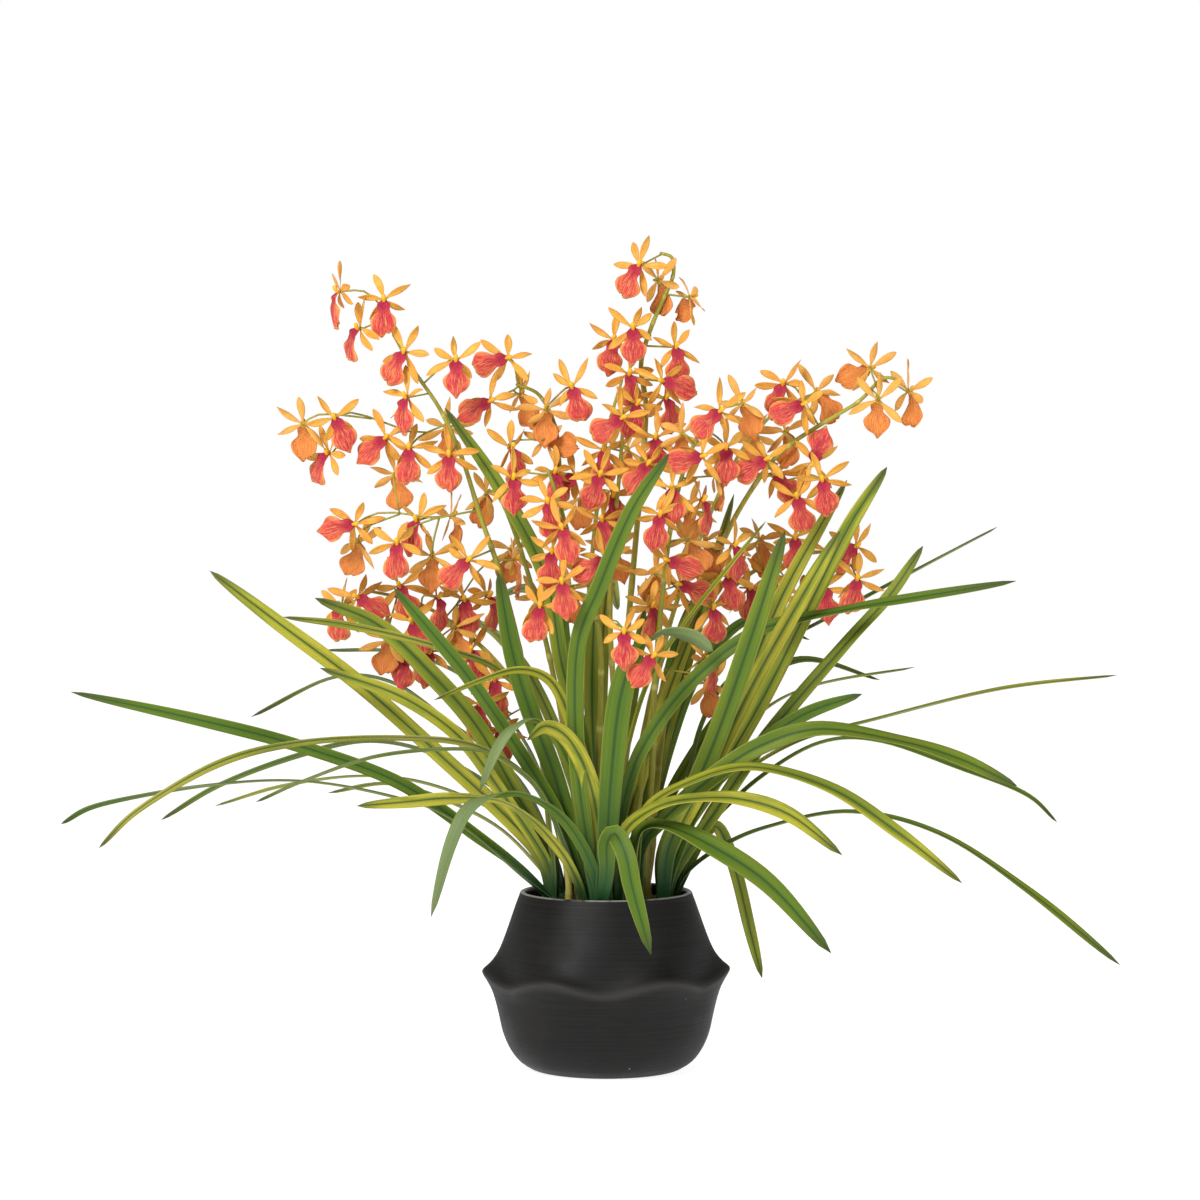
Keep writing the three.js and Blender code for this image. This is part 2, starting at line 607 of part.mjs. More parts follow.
// The soil fills the pot below the mouth with a small gap to the wall, and is slightly crowned.
function makeSoil(feet) {
  const wall = POT_INSIDE.slice(1).reverse();
  const rings = wall.map(([height, radius], index) => {
    const level = index === 0 ? height + SOIL_GAP : Math.min(height, SOIL_TOP);
    return potRing(() => radius - SOIL_GAP, () => level);
  });
  rings.push(potRing(() => SOIL_CROWN_RADIUS, () => SOIL_TOP + SOIL_CROWN));
  return tubeSolid(rings).subtract(wasm.Manifold.union(feet.map(holeFor)));
}

// A stub that stands in its hole, just clear of the hole's floor.
function footSolid([x, y, radius, sides]) {
  return prismSolid(x, y, radius, sides, SOIL_TOP - HOLE_DEPTH + HOLE_GAP, SOIL_TOP + FOOT_RISE);
}

// Leaves

function leafWidthShare(share) {
  if (share < LEAF_TIP_START) {
    return mix(LEAF_ROOT_SHARE, 1, Math.min(share / LEAF_FULL_FROM, 1));
  }
  const rest = (share - LEAF_TIP_START) / (1 - LEAF_TIP_START);
  return Math.sqrt(1 - rest ** LEAF_TIP_ROUNDING);
}

// The four corners of a channelled blade: one edge, the midrib's top, the other edge, its underside.
function leafRing(rows, share, width) {
  const row = curveValue(rows, share);
  const centre = placeOf(row);
  const tangent = curveTangent(rows, share);
  const inView = new THREE.Vector3().crossVectors(tangent, VIEW_FORWARD).normalize();
  const inDepth = new THREE.Vector3().crossVectors(inView, tangent).normalize();
  const twist = row[3] * Math.PI / 180;
  const side = inView.multiplyScalar(Math.cos(twist)).addScaledVector(inDepth, Math.sin(twist));
  const face = new THREE.Vector3().crossVectors(tangent, side).normalize();
  const half = 0.5 * width * leafWidthShare(share);
  const lift = 2 * LEAF_CHANNEL * half;
  return [
    centre.clone().addScaledVector(side, half).addScaledVector(face, lift),
    centre.clone(),
    centre.clone().addScaledVector(side, -half).addScaledVector(face, lift),
    centre.clone().addScaledVector(face, -LEAF_THICKNESS)
  ];
}

// Both faces of the blade are split along the same diagonals, so that they never cross.
function leafSolid(rows, width) {
  const rings = Math.max(LEAF_LEAST_RINGS, Math.round(pathLength(rows) / LEAF_STEP) + 1);
  const points = [];
  const faces = [];
  for (let ring = 0; ring < rings; ring += 1) {
    points.push(...leafRing(rows, ring / (rings - 1) * LEAF_LAST_RING, width));
  }
  const last = points.length - 4;
  const tip = points.length;
  points.push(placeOf(curveValue(rows, 1)));
  for (let ring = 0; ring < rings - 1; ring += 1) {
    const [edge, middle, other, under] = [0, 1, 2, 3].map((corner) => ring * 4 + corner);
    faces.push([edge, middle, middle + 4], [edge, middle + 4, edge + 4]);
    faces.push([middle, other, other + 4], [middle, other + 4, middle + 4]);
    faces.push([other, under, other + 4], [under, under + 4, other + 4]);
    faces.push([under, edge, under + 4], [edge, edge + 4, under + 4]);
  }
  for (let corner = 0; corner < 4; corner += 1) {
    faces.push([last + corner, last + (corner + 1) % 4, tip]);
  }
  faces.push([0, 2, 1], [0, 3, 2]);
  return toSolid(points, faces);
}

// The leaves of a tuft start inside its stub, each a little toward its own side.
function tuftSolid(tuft) {
  const [x, y] = tuft.foot;
  const solids = [footSolid([x, y, TUFT_FOOT_RADIUS, TUFT_FOOT_SIDES])];
  for (const [width, path] of tuft.leaves) {
    const rows = path.map(([across, down, depth, twist]) => [
      ...fromView(across, down, depth).toArray(),
      twist
    ]);
    const away = new THREE.Vector2(rows[0][0] - x, rows[0][1] - y);
    away.multiplyScalar(Math.min(LEAF_ROOT_OFFSET / Math.max(away.length(), 1), LEAF_ROOT_LEAN));
    const root = [x + away.x, y + away.y, SOIL_TOP + ROOT_RISE, rows[0][3]];
    solids.push(leafSolid([root, ...rows], width));
  }
  return joined(solids);
}

// Stems and blooms

// A tube along rows of places that narrows toward its tip.
function stemSolid(rows, steps) {
  const rings = [];
  for (let step = 0; step <= steps; step += 1) {
    const share = step / steps;
    const here = placeOf(curveValue(rows, share));
    const tangent = curveTangent(rows, share);
    const across = new THREE.Vector3().crossVectors(tangent, VIEW_FORWARD).normalize();
    const outward = new THREE.Vector3().crossVectors(across, tangent);
    const radius = mix(STEM_ROOT_RADIUS, STEM_TIP_RADIUS, share);
    const ring = [];
    for (let side = 0; side < STEM_SIDES; side += 1) {
      const angle = side * 2 * Math.PI / STEM_SIDES;
      ring.push(here.clone()
        .addScaledVector(across, -radius * Math.cos(angle))
        .addScaledVector(outward, radius * Math.sin(angle)));
    }
    rings.push(ring);
  }
  return tubeSolid(rings);
}

// The bloom's own axes: its lip hangs along the turned view direction and its face looks outward.
function bloomAxes(lipAngle, facing) {
  const lipTurn = lipAngle * Math.PI / 180;
  const faceTurn = facing * Math.PI / 180;
  const face = new THREE.Vector3(Math.sin(faceTurn), -Math.cos(faceTurn), 0);
  const lip = new THREE.Vector3(Math.sin(lipTurn), 0, -Math.cos(lipTurn));
  lip.addScaledVector(face, -lip.dot(face)).normalize();
  const up = lip.clone().negate();
  const right = new THREE.Vector3().crossVectors(up, face);
  return { right, up, face };
}

// A flat, pointed petal whose two sides meet the heart between the notches before and after it.
function addTepal(points, faces, at, direction, random, corners) {
  const { front, back, before, after } = corners;
  const angle = (direction + TEPAL_TURN * (random() - 0.5)) * Math.PI / 180;
  const length = TEPAL_LENGTH * (1 + TEPAL_SPREAD * (random() - 0.5));
  const lift = TEPAL_LIFT * (random() - TEPAL_LIFT_CENTRE);
  const along = (share, sideways, outward) => at(
    share * length * Math.cos(angle) - sideways * Math.sin(angle),
    share * length * Math.sin(angle) + sideways * Math.cos(angle),
    outward
  );
  const near = points.length;
  const tip = near + 1;
  const far = near + 2;
  points.push(
    along(TEPAL_WIDEST_AT, -TEPAL_HALF_WIDTH, TEPAL_LIFT_AT_WIDEST * lift),
    along(1, 0, lift),
    along(TEPAL_WIDEST_AT, TEPAL_HALF_WIDTH, TEPAL_LIFT_AT_WIDEST * lift)
  );
  faces.push([front, before, near], [front, near, tip], [front, tip, far], [front, far, after]);
  faces.push([back, near, before], [back, tip, near], [back, far, tip], [back, after, far]);
}

function addLip(points, faces, at, corners) {
  const { front, back, before, after } = corners;
  const first = points.length;
  LIP_OUTLINE.forEach(([across, upward, outward]) => points.push(at(across, upward, outward)));
  const last = points.length - 1;
  const upper = points.length;
  const under = upper + 1;
  points.push(at(0, -LIP_CROWN_AT, LIP_CROWN), at(0, -LIP_CROWN_AT, LIP_CROWN - LIP_THICKNESS));
  faces.push([front, before, first], [front, first, upper], [front, upper, last], [front, last, after]);
  faces.push([back, first, before], [back, under, first], [back, last, under], [back, after, last]);
  for (let index = first; index < last; index += 1) {
    faces.push([upper, index, index + 1], [under, index + 1, index]);
  }
}

// Rings of three corners, from the back of the heart down to the stem.
function addPedicel(points, faces, pedicel) {
  let near = [1, 2, 3];
  let last = centreOf(near.map((corner) => points[corner]));
  pedicel.forEach((place, index) => {
    const next = pedicel[Math.min(index + 1, pedicel.length - 1)];
    const down = next.clone().sub(last).normalize();
    const outward = points[near[0]].clone().sub(last);
    outward.addScaledVector(down, -outward.dot(down));
    if (outward.length() < 0.4 * PEDICEL_RADIUS) {
      outward.subVectors(points[near[2]], points[near[1]]).cross(down);
    }
    outward.setLength(PEDICEL_RADIUS);
    const sideways = new THREE.Vector3().crossVectors(outward, down);
    const far = [points.length, points.length + 1, points.length + 2];
    for (let corner = 0; corner < 3; corner += 1) {
      const angle = corner * 2 * Math.PI / 3;
      points.push(place.clone()
        .addScaledVector(outward, Math.cos(angle))
        .addScaledVector(sideways, Math.sin(angle)));
    }
    for (let side = 0; side < 3; side += 1) {
      const other = (side + 1) % 3;
      faces.push([near[other], near[side], far[side]], [near[other], far[side], far[other]]);
    }
    near = far;
    last = place;
  });
  faces.push([near[0], near[2], near[1]]);
}

// A bloom with its pedicel: the three corners of the pedicel's end are the back of the heart,
// and each of them carries two of the six limbs.
function bloomSolid(heart, axes, pedicel, random) {
  const at = (across, upward, outward) => heart.clone()
    .addScaledVector(axes.right, across)
    .addScaledVector(axes.up, upward)
    .addScaledVector(axes.face, outward);
  const points = [at(0, 0, HEART_FRONT)];
  for (let corner = 0; corner < 3; corner += 1) {
    const angle = (HEART_BACK_TURN + 120 * corner) * Math.PI / 180;
    points.push(at(PEDICEL_RADIUS * Math.cos(angle), PEDICEL_RADIUS * Math.sin(angle), -HEART_BACK));
  }
  const limbs = [LIP_DIRECTION, ...TEPAL_DIRECTIONS].sort((a, b) => a - b);
  const notches = limbs.map((limb, index) => {
    const next = index + 1 < limbs.length ? limbs[index + 1] : limbs[0] + 360;
    const angle = 0.5 * (limb + next) * Math.PI / 180;
    points.push(at(HEART_RADIUS * Math.cos(angle), HEART_RADIUS * Math.sin(angle), 0));
    return points.length - 1;
  });
  const faces = [];
  limbs.forEach((limb, index) => {
    const before = notches[(index + limbs.length - 1) % limbs.length];
    const after = notches[index];
    const back = 1 + Math.floor(index / 2);
    const corners = { front: 0, back, before, after };
    if (index % 2 === 1) {
      faces.push([after, back, 1 + (back % 3)]);
    }
    if (limb === LIP_DIRECTION) {
      addLip(points, faces, at, corners);
    } else {
      addTepal(points, faces, at, limb, random, corners);
    }
  });
  addPedicel(points, faces, pedicel);
  return toSolid(points, faces);
}

// Places along the straight runs of the stem's upper part, from which a pedicel can grow.
function stemStarts(path, steps) {
  const starts = [];
  for (let step = Math.round(BARE_STEM_SHARE * steps); step < steps; step += 1) {
    const here = placeOf(curveValue(path, step / steps));
    const next = placeOf(curveValue(path, (step + 1) / steps));
    for (let part = 0; part < STARTS_PER_STEP; part += 1) {
      starts.push(here.clone().lerp(next, (part + 0.5) / STARTS_PER_STEP));
    }
  }
  return starts;
}

// The traced place, moved nearer or farther until the bloom has room beside the earlier ones.
function roomyPlace(across, down, depth, hearts) {
  for (const shift of DEPTH_SHIFTS) {
    const place = fromView(across, down, depth + shift);
    const free = hearts.every((heart) => Math.hypot(
      (place.x - heart.x) / BLOOM_ROOM_ACROSS,
      (place.z - heart.z) / BLOOM_ROOM_ACROSS,
      (place.y - heart.y) / BLOOM_ROOM_DEEP
    ) > 1);
    if (free) {
      return place;
    }
  }
  return fromView(across, down, depth);
}

function nearestTo(aim, places) {
  return places.reduce((best, place) => (place.distanceTo(aim) < best.distanceTo(aim) ? place : best));
}

// A bloom's pedicel grows from the nearest place on the stem or on an earlier long pedicel.
function spraySolid(spray, seed) {
  const [x, y] = spray.foot;
  const random = seededRandom(seed);
  const path = [
    [x, y, SOIL_TOP + ROOT_RISE],
    ...spray.stem.map(([across, down, depth]) => fromView(across, down, depth).toArray())
  ];
  const steps = Math.round(pathLength(path) / STEM_STEP);
  const solids = [footSolid([x, y, CANE_FOOT_RADIUS, CANE_FOOT_SIDES]), stemSolid(path, steps)];
  const starts = stemStarts(path, steps);
  const hearts = [];
  for (const [across, down, depth, lipAngle, facing] of spray.blooms) {
    const heart = roomyPlace(across, down, depth, hearts);
    hearts.push(heart);
    const axes = bloomAxes(lipAngle, facing);
    const end = heart.clone().addScaledVector(axes.face, -HEART_BACK);
    const aim = end.clone().addScaledVector(axes.face, -PEDICEL_BACKSET);
    const start = nearestTo(aim, starts);
    const reach = start.distanceTo(end);
    const bend = start.clone().lerp(aim, PEDICEL_BEND_SHARE);
    bend.z += PEDICEL_ARCH * reach;
    const turned = axes.face.dot(start.clone().sub(end)) > -PEDICEL_TURN_SHARE * reach;
    if (reach > SIDE_SHOOT_REACH || turned) {
      solids.push(bloomSolid(heart, axes, [bend, start], random));
      starts.push(bend.clone().lerp(start, PEDICEL_FORK_SHARE));
    } else {
      solids.push(bloomSolid(heart, axes, [start], random));
    }
  }
  return joined(solids);
}

function makeFlower() {
  const potMaterial = new THREE.MeshStandardMaterial({ color: 0x1c1b1a, roughness: 0.75, metalness: 0 });
  const soilMaterial = new THREE.MeshStandardMaterial({ color: 0x5a5a22, roughness: 0.95, metalness: 0 });
  const leafMaterial = new THREE.MeshStandardMaterial({ color: 0x7f9432, roughness: 0.55, metalness: 0 });
  const bloomMaterial = new THREE.MeshStandardMaterial({ color: 0xe08a3c, roughness: 0.6, metalness: 0 });
  const feet = [
    ...Object.values(TUFTS).map((tuft) => [...tuft.foot, TUFT_FOOT_RADIUS, TUFT_FOOT_SIDES]),
    ...Object.values(SPRAYS).map((spray) => [...spray.foot, CANE_FOOT_RADIUS, CANE_FOOT_SIDES])
  ];
  const flower = new THREE.Group();
  flower.name = 'potted_orchid';
  flower.add(toMesh('pot', makePot(), potMaterial));
  flower.add(toMesh('soil', makeSoil(feet), soilMaterial));
  for (const [name, tuft] of Object.entries(TUFTS)) {
    flower.add(toMesh(`leaf_tuft_${name}`, tuftSolid(tuft), leafMaterial));
  }
  Object.entries(SPRAYS).forEach(([name, spray], index) => {
    flower.add(toMesh(`flower_spray_${name}`, spraySolid(spray, index + 1), bloomMaterial));
  });
  return flower;
}

export default makeFlower();
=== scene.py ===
"""The looks of a potted dendrobium orchid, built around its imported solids.

Sizes are in millimetres, as in the part's own source, and become metres in the meshes. Leaves, stems
and blooms follow the same traced rows as the solids that they replace.
"""

import math

import bpy
import numpy as np
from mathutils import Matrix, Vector, noise

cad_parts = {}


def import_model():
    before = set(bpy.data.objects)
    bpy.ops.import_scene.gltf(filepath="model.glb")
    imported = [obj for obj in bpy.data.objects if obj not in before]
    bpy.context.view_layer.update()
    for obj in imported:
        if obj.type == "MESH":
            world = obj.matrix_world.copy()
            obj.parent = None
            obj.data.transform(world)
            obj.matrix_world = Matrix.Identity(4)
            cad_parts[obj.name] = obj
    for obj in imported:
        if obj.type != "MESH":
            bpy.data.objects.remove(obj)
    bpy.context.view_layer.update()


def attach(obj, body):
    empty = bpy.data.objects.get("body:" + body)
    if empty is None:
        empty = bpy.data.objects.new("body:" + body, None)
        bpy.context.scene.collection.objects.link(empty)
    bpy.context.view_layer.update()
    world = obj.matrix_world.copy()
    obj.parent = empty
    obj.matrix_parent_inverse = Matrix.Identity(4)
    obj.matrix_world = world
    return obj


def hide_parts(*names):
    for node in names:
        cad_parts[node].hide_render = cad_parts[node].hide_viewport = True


MM = 0.001

# The view in which the plant was traced, which is also the camera's
VIEW_DISTANCE = 3240
VIEW_ELEVATION = math.radians(2)
VIEW_ACROSS = -5.5
VIEW_HEIGHT = 422.5
VIEW_MM_PER_PIXEL = 0.9
VIEW_CENTRE_PIXEL = 600
VIEW_PIXELS = 1200
SENSOR_WIDTH = 36
VIEW_FORWARD = np.array([0, math.cos(VIEW_ELEVATION), -math.sin(VIEW_ELEVATION)])

# Pot: each row is a height, a radius and how far the row follows the wavy ridge
RIDGE_RADIUS = 107
RIDGE_LOBES = 6
RIDGE_LOBE_DEPTH = 5
RIDGE_HEIGHT = 83
RIDGE_WAVE = 5
RIDGE_RIGHT_RISE = 1.3
FOOT_RADIUS = 61
MOUTH_RADIUS = 72.5
POT_SIDES = 192
POT_RING_STEP = 1.6
THROWING_DEPTH = 0.06
THROWING_RATE = 1.9
THROWING_SWAY = 0.6
THROWN_FROM = 4
THROWN_TO = 157
# How far from the ridge the painted highlight along it reaches
RIDGE_HIGHLIGHT_REACH = 6
RIM_GLAZE_HEIGHT = 159
# The band of the rim top that gets a painted highlight
RIM_HIGHLIGHT_FROM = 158.6
RIM_HIGHLIGHT_TO = 159.7
GLAZE_FADE_FROM = 156
POT_OUTSIDE = [
    [0, FOOT_RADIUS, 0],
    [0.4, 66.5, 0],
    [2, 70.5, 0],
    [8, 79.2, 0],
    [18, 86.8, 0],
    [32, 93, 0],
    [50, 97.2, 0.2],
    [68, 101, 0.65],
    [76, 104, 0.85],
    [RIDGE_HEIGHT, RIDGE_RADIUS, 1],
    [86.5, 105.6, 0.97],
    [93, 100.8, 0.8],
    [104, 96, 0.5],
    [121, 90.5, 0.2],
    [144, 83, 0],
    [156.5, 78.4, 0],
    [159.3, 77.4, 0],
    [160, 75.6, 0],
    [159.6, 73.6, 0],
    [157.5, 72.6, 0],
]
POT_INSIDE = [
    [150, MOUTH_RADIUS],
    [112, 86],
    [40, 84],
    [12, 62],
]

# Potting mix and moss
SOIL_GAP = 0.4
SOIL_TOP = 148
SOIL_CROWN = 3
SOIL_RADIUS = 73
SOIL_RINGS = 60
SOIL_SIDES = 160
SOIL_LUMPS = 2.2
SOIL_EDGE_POWER = 6
SOIL_SINK = 0.5
MOSS_FRONDS = 1500
MOSS_SEED = 11
MOSS_REACH = 70
MOSS_SINK = 0.8
MOSS_SHORTEST = 3
MOSS_SPREAD = 4
MOSS_LEAN = 0.7
MOSS_DROOP = 0.35
MOSS_RADIUS = 0.75
MOSS_TAPER = 0.8
MOSS_RINGS = 4
MOSS_SIDES = 4

# Each row is one size of lumps in the potting mix: rate across the ground, place in the noise, share
SOIL_NOISES = [
    [0.09, 1.7, 1],
    [0.25, 4.1, 0.6],
]

# Leaves
ROOT_RISE = 6
LEAF_ROOT_SHARE = 0.62
LEAF_FULL_FROM = 0.35
LEAF_TIP_START = 0.72
LEAF_TIP_ROUNDING = 2.1
LEAF_CHANNEL = 0.09
LEAF_ROOT_OFFSET = 4
LEAF_ROOT_LEAN = 0.3
LEAF_MID_THICKNESS = 1.3
LEAF_EDGE_THICKNESS = 0.5
LEAF_RING_STEP = 7
LEAF_FEWEST_RINGS = 16
LEAF_ACROSS = 9
LEAF_TIP_SHARE = 0.03
LEAF_TIP_THINNING = 4
LEAF_CHANNEL_POWER = 1.4
LEAF_WAVE = 0.35
LEAF_WAVE_RATE = 17
LEAF_WAVE_SHIFT = 9
STUB_SIDES = 12
STUB_TONE = 0.4

# The seed of the leaves' shades, picked by a search to come near the shades judged for fifteen leaves
LEAF_TONE_SEED = 5648

# Each row of a tuft's stub is a height above the potting mix and a radius
STUB = [
    [-8, 7],
    [2, 6.6],
    [9, 4.6],
]

# Main stems
STEM_ROOT_RADIUS = 3.4
STEM_TIP_RADIUS = 1.4
STEM_STEP = 80
STEM_SIDES = 10
STEM_RING_STEP = 5
STEM_ROOT_DEPTH = 10
NODE_SPACING = 42
NODE_SWELLING = 0.22
NODE_WIDTH = 2.6
BARE_STEM_SHARE = 0.35
STARTS_PER_STEP = 6
CURVE_SLOPE_SHARE = 0.01

# Pedicels
PEDICEL_BACKSET = 12
PEDICEL_ARCH = 0.12
PEDICEL_BEND_SHARE = 0.7
PEDICEL_FORK_SHARE = 0.3
PEDICEL_TURN_SHARE = 0.2
PEDICEL_RADIUS = 0.9
PEDICEL_SWELLING = 0.9
PEDICEL_SWELLING_RATE = 3.2
PEDICEL_SIDES = 6
PEDICEL_RINGS = 9
SIDE_SHOOT_REACH = 30

# Room that a bloom keeps from the earlier ones of its spray
BLOOM_ROOM_ACROSS = 36
BLOOM_ROOM_DEEP = 13
DEPTH_SHIFTS = [0, 9, -9, 18, -18, 27, -27]

# Blooms
TEPAL_DIRECTIONS = [90, 155, 216, 324, 385]
TEPAL_LENGTH = 25
TEPAL_TURN = 40
TEPAL_SPREAD = 0.4
TEPAL_LIFT = 13
TEPAL_LIFT_CENTRE = 0.6
TEPAL_HALF_WIDTH = 3.5
TEPAL_SWAY = 4.2
TEPAL_ROOT_HALF_WIDTH = 1.3
TEPAL_THICKNESS = 0.6
TEPAL_TWIST = 1.3
TEPAL_STEPS = 14
TEPAL_ACROSS = 7
TEPAL_TURN_PHASE = 3.7
TEPAL_TONE_PHASE = 12
TEPAL_WIDEST_POWER = 1.5
TEPAL_FULLNESS = 0.65
TEPAL_TIP_HALF_WIDTH = 0.15
TEPAL_START = 0.8
TEPAL_FRONT = 0.5
TEPAL_LIFT_POWER = 1.76
TEPAL_SWAY_RATE = 2.3
TEPAL_SWAY_CROSSING = 0.35
TEPAL_CUP = 0.22
TEPAL_CUP_POWER = 1.5
TEPAL_THINNEST_SHARE = 0.35
HEART_BACK = 2.6
LIP_LENGTH = 32
LIP_THICKNESS = 0.6
LIP_STEPS = 18
LIP_ACROSS = 15
LIP_SMOOTHING = 0.02
LIP_FRONT = 2
LIP_CROWN = 6.2
LIP_CROWN_END = 1.15
LIP_CROWN_POWER = 0.8
LIP_LOBES_AT = 0.15
LIP_LOBES_REACH = 0.09
LIP_LOBE_FOLD = 2.4
LIP_FAN_FROM = 0.33
LIP_FAN_FULL = 0.63
LIP_FAN_FOLD = 2.8
LIP_FAN_FOLD_POWER = 2.4
LIP_MARGIN_FROM = 0.62
LIP_RUFFLE = 1.7
LIP_RUFFLE_ALONG = 9
LIP_RUFFLE_ACROSS = 7
LIP_CREASE = 0.8
LIP_CREASE_REACH = 0.16
LIP_DROOP = 1.2
LIP_SCALLOP = 0.05
LIP_SCALLOP_RATE = 3
LIP_CORNER_ROUNDING = 0.06
LIP_SIDE_WAVE = 0.05
LIP_SIDE_WAVE_RATE = 11
LIP_SIDE_WAVE_SHIFT = 1.7
LIP_SKEW = 0.96
LIP_SKEW_RATE = 2.3
COLUMN_RADIUS = 2.1
COLUMN_BELOW = 2.2
COLUMN_HEIGHT = 7.2
COLUMN_FRONT = 1.2
COLUMN_ARCH = 4.6
COLUMN_ARCH_TURN = 1.9
COLUMN_SWELLING = [0.55, 0.8, 0.85, 0.9, 1.05, 1.0, 0.4]
COLUMN_SIDES = 7
COLUMN_TONE_PLACE = 0.45
SPRAY_TONE_STEP = 0.37
BLOOM_TONE_STEP = 0.618

# Each row is a share of the lip's length and the half-width there: side lobes, waist, then the fan
LIP_OUTLINE = [
    [0, 1.6],
    [0.06, 4.4],
    [0.14, 6.4],
    [0.23, 6.0],
    [0.31, 5.2],
    [0.4, 7.0],
    [0.52, 10.2],
    [0.66, 12.0],
    [0.79, 11.8],
    [0.9, 9.8],
    [0.97, 6.8],
    [1, 3.5],
]

# Studio
FLOOR_REACH = 12000
FLOOR_DROP = 0.5
FLOOR_GLOW = 0.88
WORLD_GLOW = 0.34
KEY_PLACE = (-1500, -2400, 2300)
KEY_SIZE = 1200
KEY_POWER = 104
FILL_PLACE = (2200, -2000, 1200)
FILL_SIZE = 1600
FILL_POWER = 18
CAMERA_REACH = 50

